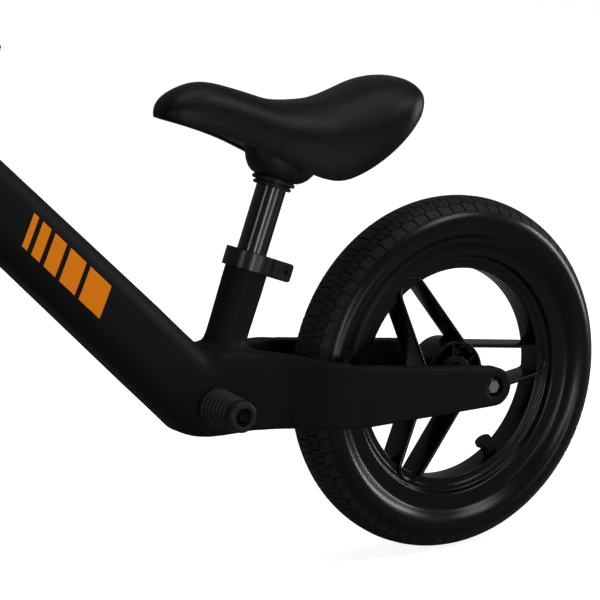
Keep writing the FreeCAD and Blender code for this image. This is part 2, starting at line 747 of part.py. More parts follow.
def clamp_collar(name, inside, lip, low, tall, place):
    """Split collar with two ears towards the rear; its lip rests on the tube's end."""
    outer = inside + d.collar_thick
    band = cylinder(name + "_band", outer, tall, lifted(place, low))
    ears = block(name + "_ears", d.ear_reach - inside, d.ear_half * 2, tall, place.multiply(Placement(
        Vector(-d.ear_reach, -d.ear_half, float(low)), Rotation())))
    rounded = doc.addObject("Part::Fillet", name + "_rounded")
    rounded.Base = ears
    doc.recompute()
    round_ear_corners(rounded, ears, place)
    solid = fuse(name + "_solid", [band, rounded])
    lip_thick = d.collar_low + d.collar_tall - d.seat_tube_long - 0.2
    over = 1.0
    bore = cylinder(name + "_bore", inside, tall - lip_thick + over, lifted(place, low - over))
    way = cylinder(name + "_way", lip, tall + 2 * over, lifted(place, low - over))
    gap = block(name + "_gap", d.ear_reach + over, d.collar_gap, tall + 2 * over, place.multiply(Placement(
        Vector(-d.ear_reach - over, -d.collar_gap / 2, float(low - over)), Rotation())))
    bolt_hole = cylinder(name + "_bolt_hole", d.clamp_thread + 0.2, d.ear_half * 2 + 2 * over,
                         clamp_bolt_place(place, low, tall, -d.ear_half - over))
    head_room = cylinder(name + "_head_room", d.clamp_head + 0.3, d.clamp_sunk + over,
                         clamp_bolt_place(place, low, tall, d.ear_half - d.clamp_sunk))
    return cut(name + "_collar", solid, fuse(name + "_cuts", [bore, way, gap, bolt_hole, head_room]))


def round_ear_corners(fillet, ears, place):
    """Round the two free upright-to-collar edges at the ears' outer end."""
    toward = place.inverse()
    picked = []
    for index, edge in enumerate(ears.Shape.Edges, start=1):
        ends = [toward.multVec(vertex.Point) for vertex in edge.Vertexes]
        outer_end = all(abs(point.x + float(d.ear_reach)) < 1e-3 for point in ends)
        along_y = abs(ends[0].y - ends[1].y) > 1
        if outer_end and along_y:
            picked.append((index, 3.0, 3.0))
    fillet.Edges = picked


def clamp_bolt_place(place, low, tall, start):
    return place.multiply(Placement(Vector(-d.clamp_bolt_out, float(start), float(low + tall / 2)), TO_Y))


def clamp_fasteners(name, low, tall, place):
    """Socket screw sunk in the left ear, with a hex nut on the right."""
    seat = d.ear_half - d.clamp_sunk
    head = cylinder(name + "_head", d.clamp_head, d.clamp_head_tall, clamp_bolt_place(place, low, tall, seat))
    shank_end = -d.ear_half - d.clamp_nut - 1
    shank = cylinder(name + "_shank", d.clamp_thread, seat - shank_end + 1,
                     clamp_bolt_place(place, low, tall, shank_end))
    socket = hexagon(name + "_socket", d.clamp_head, 3, clamp_bolt_place(
        place, low, tall, seat + d.clamp_head_tall - 2.5))
    bolt = cut(name + "_bolt", fuse(name + "_bolt_solid", [head, shank]), socket)
    blank = hexagon(name + "_nut_blank", d.clamp_flats, d.clamp_nut,
                    clamp_bolt_place(place, low, tall, -d.ear_half - d.clamp_nut))
    thread = cylinder(name + "_nut_thread", d.clamp_thread, d.clamp_nut + 2,
                      clamp_bolt_place(place, low, tall, -d.ear_half - d.clamp_nut - 1))
    return bolt, cut(name + "_nut", blank, thread)


post_way = d.post_radius + 0.4
subpart(clamp_collar("seat", d.seat_tube, post_way, d.collar_low, d.collar_tall, SEAT), "seat_clamp_collar")
bolt, nut = clamp_fasteners("seat_clamp", d.collar_low, d.collar_tall, SEAT)
subpart(bolt, "seat_clamp_bolt")
subpart(nut, "seat_clamp_nut")


# ---------------------------------------------------------------- seat post and saddle

post_long = d.post_high - d.post_low
subpart(ring("post", d.post_radius, d.post_radius - d.post_wall, post_long),
        "seat_post", lifted(SEAT, d.post_low))


# saddle stations from nose to tail: share of length, half width, crown height, skirt height
STATIONS = (
    (0.000, 7, 407, 400),
    (0.012, 12.5, 410, 401.5),
    (0.070, 22.1, 422.1, 397.1),
    (0.157, 27, 428.1, 389.9),
    (0.302, 30.8, 419.7, 375.5),
    (0.447, 35.7, 408, 357.2),
    (0.593, 44.3, 406.1, 341.9),
    (0.709, 49.4, 410.9, 351.2),
    (0.825, 50.9, 418.7, 369.4),
    (0.912, 45.2, 419.9, 386.8),
    (0.980, 19.1, 405.4, 397.5),
    (1.000, 9, 403, 398.5),
)


def saddle_body(name, section):
    """Loft through one sketch per station; section(half width, crown, skirt) gives its outline."""
    body = new_body(name)
    sketches = []
    for index, (share, half_width, crown, skirt) in enumerate(STATIONS):
        x = d.saddle_nose - d.saddle_long * share
        sketch = new_sketch(body, "YZ_Plane", "%s_station%d" % (name, index),
                            Placement(Vector(0, 0, float(x)), Rotation()))
        sketches.append(draw(sketch, section(half_width, crown, skirt)))
    loft = body.newObject("PartDesign::AdditiveLoft", name + "_loft")
    loft.Profile = sketches[0]
    loft.Sections = sketches[1:]
    loft.Ruled = True
    return body


def hollow_of(half_width, crown, skirt):
    """Half width and ceiling height of the hollow under the cover at one station."""
    lip = min(float(d.cover_lip), 0.4 * half_width)
    return 0.95 * half_width - lip, skirt + min(float(d.cover_hollow), 0.4 * (crown - skirt))


def cover_section(half_width, crown, skirt):
    """Dome with a lip down each side of a shallow hollow."""
    side = skirt + 0.25 * (crown - skirt)
    room, ceiling = hollow_of(half_width, crown, skirt)
    left = [(-0.95 * half_width, skirt), (-half_width, side)]
    dome = []
    for degrees in (-67.5, -45, -22.5, 0, 22.5, 45, 67.5):
        turn = math.radians(degrees)
        bulge = math.copysign(abs(math.sin(turn)) ** 0.85, turn)
        dome.append((half_width * bulge, side + (crown - side) * math.cos(turn) ** 0.8))
    right = [(half_width, side), (0.95 * half_width, skirt)]
    hollow = [(room, skirt), (room, ceiling), (-room, ceiling), (-room, skirt)]
    return left + dome + right + hollow


def pan_section(half_width, crown, skirt):
    room, ceiling = hollow_of(half_width, crown, skirt)
    edge = room - float(d.pan_gap)
    top = ceiling - float(d.pan_gap)
    low = top - min(float(d.pan_thick), 0.6 * (ceiling - skirt))
    return [(-edge, low), (edge, low), (edge, top), (-edge, top)]


def room_section(half_width, crown, skirt):
    """Everything above the pan's underside."""
    floor = pan_section(half_width, crown, skirt)[0][1]
    wide = 90.0
    return [(-wide, floor), (wide, floor), (wide, floor + wide), (-wide, floor + wide)]


subpart(saddle_body("cover", cover_section), "saddle_cover")
pan = saddle_body("pan", pan_section)


def saddle_neck():
    """Moulded foot under the pan that swallows the top of the post."""
    rings = [
        cylinder("neck_ring_low", d.neck_ring, d.neck_ring_tall, lifted(SEAT, d.neck_low)),
        cylinder("neck_ring_mid", d.neck_ring + 1.5, 4, lifted(SEAT, d.neck_low + 5)),
        cylinder("neck_core", d.neck_ring - 1.5, 14, lifted(SEAT, d.neck_low + 1)),
    ]
    flare = doc.addObject("Part::Cone", "neck_flare")
    bind(flare, "Radius1", d.neck_ring + 1)
    bind(flare, "Radius2", d.neck_ring + d.neck_flare)
    bind(flare, "Height", d.neck_tall)
    flare.Placement = lifted(SEAT, d.neck_low + 8)
    long = (d.neck_ring + d.neck_flare) * 2
    slab = block("neck_slab", long, d.neck_half_wide * 2, d.neck_tall, SEAT.multiply(Placement(
        Vector(-long / 2, -d.neck_half_wide, float(d.neck_low + 8)), Rotation())))
    foot = fuse("neck_solid", rings + [common("neck_flank", [flare, slab])])
    return cut("neck_trimmed", foot, saddle_body("pan_room", room_section))


neck = saddle_neck()
socket = cylinder("neck_socket", d.post_radius, d.post_high - d.neck_low + 1, lifted(SEAT, d.neck_low - 1))
subpart(cut("neck_bored", neck, socket), "saddle_neck")
subpart(pan, "saddle_pan")


# ---------------------------------------------------------------- footpegs


def peg_profile():
    """Ribbed, tapered peg; x is the radius and y the distance from the frame."""
    bore = d.peg_bore
    length = d.peg_long
    corners = [(d.peg_bolt + 0.2, 0), (d.peg_base, 0), (d.peg_base, 4)]
    rib_count = 7
    pitch = 4.7
    land = 2.7
    for index in range(rib_count):
        start = 4 + pitch * index
        radius = d.peg_base - (d.peg_base - d.peg_tip) * ((start + land) / float(length))
        corners += [
            (radius - d.peg_groove, start + 0.4), (radius - d.peg_groove, start + pitch - land),
            (radius, start + pitch - land + 0.4), (radius, start + pitch - 0.4),
        ]
    corners += [(d.peg_tip, length - 1.5), (d.peg_tip - 1.5, length), (bore, length),
                (bore, length - d.peg_bore_deep), (d.peg_bolt + 0.2, length - d.peg_bore_deep)]
    return corners


def peg(side, sign):
    body = turned_piece("peg_" + side, peg_profile())
    turn = Rotation() if sign > 0 else Rotation(Vector(1, 0, 0), 180)
    subpart(body, "footpeg_" + side, Placement(PEG + Vector(0, sign * float(d.low_half_wide), 0), turn))


peg("left", 1)
peg("right", -1)


def peg_bolt():
    seat = d.low_half_wide + d.peg_long - d.peg_bore_deep
    head = across("peg_bolt_head", d.peg_bolt_head, seat, d.peg_bolt_tall, 1, PEG)
    shank = across("peg_bolt_shank", d.peg_bolt, seat - d.peg_bolt_long + 2, d.peg_bolt_long - 2, 1, PEG)
    socket = hexagon("peg_bolt_socket", d.peg_bolt * 1.5, 5, Placement(
        PEG + Vector(0, float(seat + d.peg_bolt_tall - 4), 0), TO_Y))
    return cut("peg_bolt", fuse("peg_bolt_solid", [head, shank]), socket)


left_bolt = peg_bolt()
subpart(group("peg_bolts", [left_bolt, mirrored("peg_bolt_right", left_bolt)]), "footpeg_bolts")


# ---------------------------------------------------------------- headset


def headset():
    cup_in = d.head_bore - d.cup_wall
    bearing_in = d.steerer_radius + d.steerer_clear
    ends = {
        "lower": (d.head_low - d.cup_flange, d.head_low),
        "upper": (d.head_high, d.head_high - d.cup_deep),
    }
    for end, (flange_at, sleeve_at) in ends.items():
        flange = cylinder(end + "_cup_flange", d.head_radius, d.cup_flange, lifted(STEER, flange_at))
        sleeve = cylinder(end + "_cup_sleeve", d.head_bore, d.cup_deep, lifted(STEER, sleeve_at))
        low = min(float(flange_at), float(sleeve_at))
        bore = cylinder(end + "_cup_bore", cup_in, d.cup_deep + d.cup_flange + 2, lifted(STEER, low - 1))
        cup = cut(end + "_cup", fuse(end + "_cup_solid", [flange, sleeve]), bore)
        subpart(cup, "headset_%s_cup" % end)
        bearing_at = d.head_low if end == "lower" else d.head_high - d.headset_bearing
        bearing = ring(end + "_bearing", cup_in, bearing_in, d.headset_bearing)
        subpart(bearing, "headset_%s_bearing" % end, lifted(STEER, bearing_at))
    race_at = d.crown_top
    race_high = d.head_low - d.headset_gap - d.crown_top
    race = ring("race", d.steerer_radius + 4, d.steerer_radius, race_high)
    subpart(race, "headset_crown_race", lifted(STEER, race_at))
    cap_at = d.head_high + d.cup_flange + d.headset_gap
    cap = ring("top_cap", d.head_radius, d.steerer_radius, d.top_cap_tall)
    subpart(cap, "headset_top_cap", lifted(STEER, cap_at))


headset()


# ---------------------------------------------------------------- fork


def fork_front_outline():
    """The fork seen from the front: x is sideways, y is up the steering axis."""
    inner = d.blade_outer - d.blade_thick
    arch = d.fork_arch
    low = -d.arm_end - 2
    half = [
        (0, arch, (float(inner) * 0.72, float(arch) - 9)),
        (inner, arch - 34),
        (inner, low),
        (d.blade_outer, low),
        (d.blade_outer, arch - 24, (float(d.blade_outer) - 3.5, float(arch) + 2)),
        (d.crown_half, d.crown_top),
    ]
    mirror = []
    for index in range(len(half) - 1, 0, -1):
        corner = half[index]
        leading = half[index - 1]
        flipped = (-corner[0], corner[1])
        if len(leading) == 3:
            flipped += ((-leading[2][0], leading[2][1]),)
        mirror.append(flipped)
    return half + mirror


def fork_side_outline():
    """The fork seen from the side: x is forward, y is up the steering axis."""
    rake = d.fork_rake
    end = d.arm_end
    deep = d.blade_deep
    return [
        (rake + end, 0),
        (deep + 1, d.fork_arch - 20),
        (deep, d.crown_top),
        (-deep, d.crown_top),
        (-deep - 1, d.fork_arch - 20),
        (rake - end, 0, (rake, -end)),
    ]


def fork():
    front = new_body("fork_front")
    reach = Size(160.0)
    pad_both_ways(front, draw(new_sketch(front, "YZ_Plane", "fork_front_sketch"), fork_front_outline()),
                  "fork_front_pad", reach)
    side = new_body("fork_side")
    pad_both_ways(side, draw(new_sketch(side, "XZ_Plane", "fork_side_sketch"), fork_side_outline()),
                  "fork_side_pad", reach)
    legs = common("fork_legs", [front, side])
    steerer = cylinder("steerer", d.steerer_radius, d.steerer_top - d.crown_top + 5,
                       Placement(Vector(0, 0, float(d.crown_top - 5)), Rotation()))
    solid = fuse("fork_solid", [legs, steerer])
    bore = cylinder("steerer_bore", d.post_radius + d.post_clear, d.steerer_top,
                    Placement(Vector(0, 0, float(d.fork_arch + 10)), Rotation()))
    slot = block("steerer_slot", d.steerer_radius + 2, d.collar_gap, 40, Placement(
        Vector(-d.steerer_radius - 2, -d.collar_gap / 2, float(d.steerer_top - 16)), Rotation()))
    axle = Vector(float(d.fork_rake), 0, 0)
    over = 1.0
    floor = d.blade_outer - d.fork_recess_deep
    holes = both(lambda name, sign: across("fork_hole_" + name, d.axle_thread + d.bolt_clear,
                                           blade_inner - over, d.blade_thick + 2 * over, sign, axle))
    recesses = both(lambda name, sign: across("fork_recess_" + name, d.arm_recess, floor,
                                              d.fork_recess_deep + over, sign, axle))
    return cut("fork_drilled", solid, fuse("fork_cuts", [bore, slot] + holes + recesses))


subpart(fork(), "fork", STEER)

bar_collar_low = d.steerer_top - d.collar_tall + 2.9
subpart(clamp_collar("bar", d.steerer_radius, post_way, bar_collar_low, d.collar_tall, STEER),
        "handlebar_clamp_collar")
bolt, nut = clamp_fasteners("bar_clamp", bar_collar_low, d.collar_tall, STEER)
subpart(bolt, "handlebar_clamp_bolt")
subpart(nut, "handlebar_clamp_nut")


# ---------------------------------------------------------------- stem, handlebar and grips

BAR = lifted(STEER, d.bar_height)


def stem_block(name, start, deep):
    """One half of the bar clamp, in the bar's own frame."""
    return block(name, deep, d.stem_half * 2, d.stem_tall * 2,
                 Placement(Vector(float(start), -d.stem_half, -d.stem_tall), Rotation()))


def stem_bolt_places(start):
    """Where the four clamp bolts start, with Z pointing forward."""
    forward = Rotation(Vector(0, 1, 0), 90)
    return [Placement(Vector(float(start), y * float(d.stem_bolt_y), z * float(d.stem_bolt_z)), forward)
            for y in (-1, 1) for z in (-1, 1)]


def stem():
    over = 1.0
    rear = stem_block("stem_rear", -d.stem_deep, d.stem_deep - d.stem_split)
    post = cylinder("bar_post", d.post_radius, d.bar_height - d.stem_low,
                    Placement(Vector(0, 0, float(d.stem_low - d.bar_height)), Rotation()))
    front_room = stem_block("stem_front_room", -d.stem_split, d.stem_deep * 2)
    bar_room = across("stem_bar_room", d.bar_radius, -d.stem_half - over, d.stem_half * 2 + 2 * over, 1,
                      Vector())
    hollow = cylinder("bar_post_hollow", d.post_radius - d.post_wall, d.bar_height - d.stem_low - 26,
                      Placement(Vector(0, 0, float(d.stem_low - d.bar_height - 1)), Rotation()))
    threads = [cylinder("stem_thread", d.clamp_thread, 12, place) for place in stem_bolt_places(-12)]
    solid = fuse("stem_solid", [rear, post])
    subpart(cut("stem_cut", solid, fuse("stem_cuts", [front_room, bar_room, hollow] + threads)),
            "handlebar_stem", BAR)

    front = stem_block("stem_front", d.stem_split, d.stem_deep - d.stem_split)
    ways = [cylinder("cap_way", d.clamp_thread + 0.2, 40, place) for place in stem_bolt_places(-over)]
    seat_places = stem_bolt_places(d.stem_deep - 6)
    seats = [cylinder("cap_seat", d.clamp_head + 0.4, 20, place) for place in seat_places]
    bar_room_front = across("cap_bar_room", d.bar_radius, -d.stem_half - over, d.stem_half * 2 + 2 * over, 1,
                            Vector())
    subpart(cut("cap_cut", front, fuse("cap_cuts", [bar_room_front] + ways + seats)), "stem_cap", BAR)

    bolts = []
    for place, head_place in zip(stem_bolt_places(-11), stem_bolt_places(d.stem_deep - 6)):
        shank = cylinder("stem_bolt_shank", d.clamp_thread, d.stem_deep - 6 + 11, place)
        head = cylinder("stem_bolt_head", d.clamp_head, d.clamp_head_tall, head_place)
        socket = hexagon("stem_bolt_socket", d.clamp_head, 4, head_place.multiply(
            Placement(Vector(0, 0, float(d.clamp_head_tall - 2.5)), Rotation())))
        bolts.append(cut("stem_bolt", fuse("stem_bolt_solid", [shank, head]), socket))
    subpart(group("stem_bolt_set", bolts), "stem_bolts", BAR)


stem()


def bar_path(sign):
    """Corner points of the bar's centre line on one side: flat, rise, then the grip run."""
    return [(0, 0), (sign * float(d.bar_flat), 0), (sign * float(d.bar_slope), float(d.bar_rise)),
            (sign * float(d.bar_half), float(d.bar_rise))]


def handlebar():
    """Riser bar: one tube bent four times, its centre line in the bar frame's YZ plane."""
    bend = 40.0
    right = bar_path(-1)
    left = bar_path(1)
    points = [Vector(0, y, z) for y, z in right[:0:-1] + left[1:]]
    edges = []
    start = points[0]
    for before, corner, after in zip(points, points[1:], points[2:]):
        arriving = (corner - before).normalize()
        leaving = (after - corner).normalize()
        turn = arriving.getAngle(leaving)
        back = bend * math.tan(turn / 2)
        enter = corner - arriving * back
        leave = corner + leaving * back
        bisector = (leaving - arriving).normalize()
        centre = corner + bisector * (bend / math.cos(turn / 2))
        middle = centre - bisector * bend
        edges.append(Part.LineSegment(start, enter).toShape())
        edges.append(Part.Arc(enter, middle, leave).toShape())
        start = leave
    edges.append(Part.LineSegment(start, points[-1]).toShape())
    path = Part.Wire(edges)

    def swept(radius):
        circle = Part.Circle(points[0], Vector(0, 1, 0), float(radius))
        return path.makePipeShell([Part.Wire([circle.toShape()])], True, True)

    made = doc.addObject("Part::Feature", "bar_tube")
    made.Shape = swept(d.bar_radius).cut(swept(d.bar_radius - d.bar_wall))
    return made


subpart(handlebar(), "handlebar", BAR)


def grip_profile():
    """Rubber grip with a finger flange inboard and a round safety knob outboard; y runs outwards."""
    bore = d.bar_radius
    length = d.grip_long
    knob = length + d.grip_overhang
    return [
        (bore, 0), (d.grip_flange - 2, 0), (d.grip_flange, 2), (d.grip_flange, d.grip_flange_thick),
        (d.grip_radius, d.grip_flange_thick + 3), (d.grip_radius - 0.5, length - 14),
        (d.grip_knob, length - 10, (float(d.grip_knob) + 1.2, float(length) - 3)),
        (d.grip_knob - 4, knob), (0, knob), (0, length), (bore, length),
    ]


for side, sign in (("left", 1), ("right", -1)):
    turn = Rotation() if sign > 0 else Rotation(Vector(1, 0, 0), 180)
    start = Vector(0, sign * float(d.bar_half - d.grip_long), float(d.bar_rise))
    subpart(turned_piece("grip_" + side + "_rubber", grip_profile()), "grip_" + side,
            BAR.multiply(Placement(start, turn)))


# ---------------------------------------------------------------- check and write

doc.recompute()
failed = []
for thing in doc.Objects:
    bad = [word for word in thing.State if word in ("Invalid", "Error")]
    if bad:
        failed.append("%s %s" % (thing.Name, bad))
if failed:
    raise RuntimeError("failed: " + ", ".join(failed))
for thing in SUBPARTS:
    shape = thing.Shape
    if shape.isNull() or not shape.isValid() or not shape.Solids:
        raise RuntimeError("%s has no valid solid" % thing.Label)
    box = shape.BoundBox
    print("%-28s solids %2d  volume %9.1f  x %7.1f %7.1f  y %7.1f %7.1f  z %7.1f %7.1f" % (
        thing.Label, len(shape.Solids), shape.Volume, box.XMin, box.XMax, box.YMin, box.YMax,
        box.ZMin, box.ZMax))

os.makedirs("parts", exist_ok=True)
for thing in SUBPARTS:
    thing.Shape.exportStep("parts/%s.step" % thing.Label)
print("wrote", len(SUBPARTS), "sub-parts")
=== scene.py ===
"""Balance bike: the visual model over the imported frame, with camera, floor and lights."""
import json
import math

import bpy
import numpy as np
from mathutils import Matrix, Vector


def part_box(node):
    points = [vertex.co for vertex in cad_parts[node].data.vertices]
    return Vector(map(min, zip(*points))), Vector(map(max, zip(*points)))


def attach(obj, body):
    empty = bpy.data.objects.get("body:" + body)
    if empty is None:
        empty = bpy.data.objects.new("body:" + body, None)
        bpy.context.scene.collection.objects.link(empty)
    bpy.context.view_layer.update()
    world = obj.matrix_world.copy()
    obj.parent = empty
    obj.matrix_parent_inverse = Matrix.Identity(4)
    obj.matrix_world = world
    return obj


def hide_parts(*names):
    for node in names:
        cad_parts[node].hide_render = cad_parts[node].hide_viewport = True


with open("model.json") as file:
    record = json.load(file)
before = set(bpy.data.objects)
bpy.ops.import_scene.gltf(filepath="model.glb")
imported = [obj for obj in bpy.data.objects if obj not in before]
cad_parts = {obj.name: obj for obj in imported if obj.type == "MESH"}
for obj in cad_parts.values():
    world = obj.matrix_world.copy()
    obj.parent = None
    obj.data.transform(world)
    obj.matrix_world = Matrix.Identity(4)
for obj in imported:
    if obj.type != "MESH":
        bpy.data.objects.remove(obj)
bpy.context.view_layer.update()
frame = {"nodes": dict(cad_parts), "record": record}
nodes = frame["nodes"]

# lengths in tables are mm, and x and z in them are from the rear axle unless they say otherwise
MM = 0.001
HALF_BASE = 0.305
AXLE_HIGH = 0.155
REAR = np.array([-HALF_BASE, 0.0, AXLE_HIGH])
FRONT = np.array([HALF_BASE, 0.0, AXLE_HIGH])
SEAT_FOOT = np.array([249.5, 0.0, 0.0])
SEAT_LEAN = math.radians(20.7)

scene = bpy.context.scene


# ---------------------------------------------------------------- materials


def shader(name, color, roughness, metallic=0.0, coat=0.0, coat_roughness=0.1, specular=0.5,
           bump=None, spread=0.12, patch=70.0):
    """A principled material whose colour and roughness vary slowly over patches (patch per metre).

    bump is (grain size per metre, strength, height in metres)."""
    material = bpy.data.materials.new(name)
    material.use_nodes = True
    tree = material.node_tree
    surface = tree.nodes["Principled BSDF"]
    surface.inputs["Metallic"].default_value = metallic
    surface.inputs["Coat Weight"].default_value = coat
    surface.inputs["Coat Roughness"].default_value = coat_roughness
    surface.inputs["Specular IOR Level"].default_value = specular
    place = tree.nodes.new("ShaderNodeTexCoord")
    slow = tree.nodes.new("ShaderNodeTexNoise")
    slow.inputs["Scale"].default_value = patch
    slow.inputs["Detail"].default_value = 4.0
    tree.links.new(place.outputs["Object"], slow.inputs["Vector"])
    tint = tree.nodes.new("ShaderNodeMix")
    tint.data_type = "RGBA"
    tint.inputs["A"].default_value = (*[value * (1 - spread) for value in color], 1.0)
    tint.inputs["B"].default_value = (*[value * (1 + spread) for value in color], 1.0)
    tree.links.new(slow.outputs["Fac"], tint.inputs["Factor"])
    tree.links.new(tint.outputs["Result"], surface.inputs["Base Color"])
    rough = tree.nodes.new("ShaderNodeMapRange")
    rough.inputs["To Min"].default_value = roughness * (1 - spread)
    rough.inputs["To Max"].default_value = roughness * (1 + spread)
    tree.links.new(slow.outputs["Fac"], rough.inputs["Value"])
    tree.links.new(rough.outputs["Result"], surface.inputs["Roughness"])
    if bump:
        scale, strength, distance = bump
        grain = tree.nodes.new("ShaderNodeTexNoise")
        grain.inputs["Scale"].default_value = scale
        grain.inputs["Detail"].default_value = 3.0
        height = tree.nodes.new("ShaderNodeBump")
        height.inputs["Strength"].default_value = strength
        height.inputs["Distance"].default_value = distance
        tree.links.new(place.outputs["Object"], grain.inputs["Vector"])
        tree.links.new(grain.outputs["Fac"], height.inputs["Height"])
        tree.links.new(height.outputs["Normal"], surface.inputs["Normal"])
    return material


PAINT = shader("frame paint", (0.0075, 0.0075, 0.0078), 0.55, specular=0.08,
               bump=(2600, 0.25, 0.0001))
WHEEL = shader("wheel paint", (0.0014, 0.0014, 0.0016), 0.22, specular=0.28,
               coat=0.08, coat_roughness=0.1, bump=(1400, 0.12, 0.0001))
POST = shader("post paint", (0.002, 0.002, 0.002), 0.2, specular=0.5,
              coat=0.3, coat_roughness=0.12, bump=(1600, 0.05, 0.0001))
CLAMP = shader("clamp paint", (0.003, 0.003, 0.003), 0.3, specular=0.4,
               coat=0.1, coat_roughness=0.15, bump=(1600, 0.08, 0.0001))
TYRE = shader("tyre rubber", (0.013, 0.013, 0.013), 0.5, specular=0.2,
              bump=(3000, 0.35, 0.0002))
WALL = shader("tyre wall", (0.0025, 0.0025, 0.0025), 0.26, specular=0.26,
              bump=(2500, 0.06, 0.0001))
COVER = shader("saddle cover", (0.0018, 0.0018, 0.0019), 0.33, specular=0.2,
               bump=(1900, 0.6, 0.0003))
MOULDED = shader("moulded black", (0.0045, 0.0045, 0.0045), 0.45, specular=0.25,
                 bump=(1800, 0.1, 0.0001))
GRIP = shader("grip rubber", (0.006, 0.006, 0.006), 0.5, specular=0.3, bump=(2200, 0.2, 0.0001))
STEEL = shader("bright steel", (0.42, 0.42, 0.43), 0.3, metallic=1.0, bump=(900, 0.15, 0.0001))
DARK_STEEL = shader("black steel", (0.03, 0.03, 0.032), 0.3, metallic=0.8,
                    bump=(900, 0.1, 0.0001))
ORANGE = shader("orange print", (1.0, 0.27, 0.004), 0.5, specular=0.1, spread=0.03,
                bump=(2600, 0.2, 0.0001))

SLOT_LOOKS = {
    "frame_paint": PAINT, "wheel_paint": WHEEL, "post_paint": POST, "clamp_paint": CLAMP,
    "tyre": TYRE, "butyl": GRIP, "steel": STEEL, "black_steel": DARK_STEEL,
    "bearing_steel": DARK_STEEL, "moulded": MOULDED, "cover": COVER, "grip": GRIP,
}
for part in frame["record"]["subparts"]:
    piece = nodes[part["node"]]
    piece.data.materials.clear()
    piece.data.materials.append(SLOT_LOOKS[part["material_slot"]])


# ---------------------------------------------------------------- helpers


def new_piece(name, vertices, faces, material, body, smooth_to=35):
    """A mesh object from vertices in the row frame (metres), riding on a body."""
    mesh = bpy.data.meshes.new(name)
    whole_faces = [list(map(int, face)) for face in faces]
    mesh.from_pydata(np.asarray(vertices, float).tolist(), [], whole_faces)
    mesh.validate()
    piece = bpy.data.objects.new(name, mesh)
    scene.collection.objects.link(piece)
    return finish_piece(piece, material, body, smooth_to)


def finish_piece(piece, material, body, smooth_to=35):
    """Material, shading and body of a piece."""
    materials = material if isinstance(material, (list, tuple)) else [material]
    piece.data.materials.clear()
    for item in materials:
        piece.data.materials.append(item)
    piece.data.shade_smooth()
    piece.data.set_sharp_from_angle(angle=math.radians(smooth_to))
    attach(piece, body)
    return piece


def loop_faces(rings, count, closed_across=True, closed_along=True):
    """Quads of a structured grid of rings x count vertices."""
    along = np.arange(rings if closed_along else rings - 1)
    across = np.arange(count if closed_across else count - 1)
    i, j = np.meshgrid(along, across, indexing="ij")
    i, j = i.ravel(), j.ravel()
    i2, j2 = (i + 1) % rings, (j + 1) % count
    return np.stack([i * count + j, i2 * count + j, i2 * count + j2, i * count + j2], 1)


def joined(parts):
    """Several (vertices, faces) as one."""
    vertices, faces, start = [], [], 0
    for part_vertices, part_faces in parts:
        part_vertices = np.asarray(part_vertices, float)
        vertices.append(part_vertices)
        faces += [[int(index) + start for index in face] for face in part_faces]
        start += len(part_vertices)
    return np.concatenate(vertices), faces


def rounded(points, radius, steps=3):
    """A closed outline with its corners rounded."""
    points = [np.asarray(point, float) for point in points]
    made = []
    for index, corner in enumerate(points):
        before, after = points[index - 1], points[(index + 1) % len(points)]
        size = radius[index] if isinstance(radius, (list, tuple)) else radius
        reach_back = min(size, 0.45 * np.linalg.norm(before - corner))
        reach_on = min(size, 0.45 * np.linalg.norm(after - corner))
        start = corner + (before - corner) / max(np.linalg.norm(before - corner), 1e-9) * reach_back
        end = corner + (after - corner) / max(np.linalg.norm(after - corner), 1e-9) * reach_on
        for step in range(steps + 1):
            t = step / steps
            made.append((1 - t) ** 2 * start + 2 * t * (1 - t) * corner + t ** 2 * end)
    return np.array(made)


def lathe(profile, count, centre, scale=MM):
    """Turn a closed (radius, y) outline in mm round the axle through centre."""
    profile = np.asarray(profile, float) * scale
    angles = np.linspace(0, 2 * math.pi, count, endpoint=False)
    radius, y = profile[:, 0], profile[:, 1]
    x = np.cos(angles)[:, None] * radius
    z = np.sin(angles)[:, None] * radius
    vertices = np.stack([x, np.broadcast_to(y, x.shape), z], -1).reshape(-1, 3) + centre
    return vertices, loop_faces(count, len(profile))


def curve_through(knots, values, at):
    """Monotone cubic through the knots."""
    knots, values, at = (np.asarray(item, float) for item in (knots, values, at))
    width = np.diff(knots)
    slope = np.diff(values) / width
    tangent = np.zeros(len(knots))
    same = slope[:-1] * slope[1:] > 0
    first = 2 * width[1:] + width[:-1]
    second = width[1:] + 2 * width[:-1]
    safe_low = np.where(same, slope[:-1], 1)
    safe_high = np.where(same, slope[1:], 1)
    tangent[1:-1] = np.where(same, (first + second) / (first / safe_low + second / safe_high), 0)
    tangent[0], tangent[-1] = slope[0], slope[-1]
    index = np.clip(np.searchsorted(knots, at) - 1, 0, len(knots) - 2)
    t = (at - knots[index]) / width[index]
    span = width[index]
    return ((2 * t ** 3 - 3 * t ** 2 + 1) * values[index]
            + (t ** 3 - 2 * t ** 2 + t) * span * tangent[index]
            + (3 * t ** 2 - 2 * t ** 3) * values[index + 1]
            + (t ** 3 - t ** 2) * span * tangent[index + 1])


def evaluated(source, name, modifiers):
    """A copy of a mesh object with modifiers applied: [(type, {setting: value})]."""
    work = bpy.data.objects.new(name + "_work", source.data.copy())
    scene.collection.objects.link(work)
    for kind, settings in modifiers:
        modifier = work.modifiers.new(kind, kind)
        for key, value in settings.items():
            setattr(modifier, key, value)
    bpy.context.view_layer.update()
    graph = bpy.context.evaluated_depsgraph_get()
    mesh = bpy.data.meshes.new_from_object(work.evaluated_get(graph))
    mesh.name = name
    bpy.data.objects.remove(work)
    piece = bpy.data.objects.new(name, mesh)
    scene.collection.objects.link(piece)
    return piece


# ---------------------------------------------------------------- tyres

TREAD_COUNT = 72
TREAD_EDGE = 27.0
GROOVE_DEEP = 1.9
GROOVE_WALL = 0.18
# grooves round the tyre: distances from the crown along the surface
GROOVES = [(7.2, 8.2), (17.0, 17.9), (26.0, 26.5), (27.6, 28.1)]
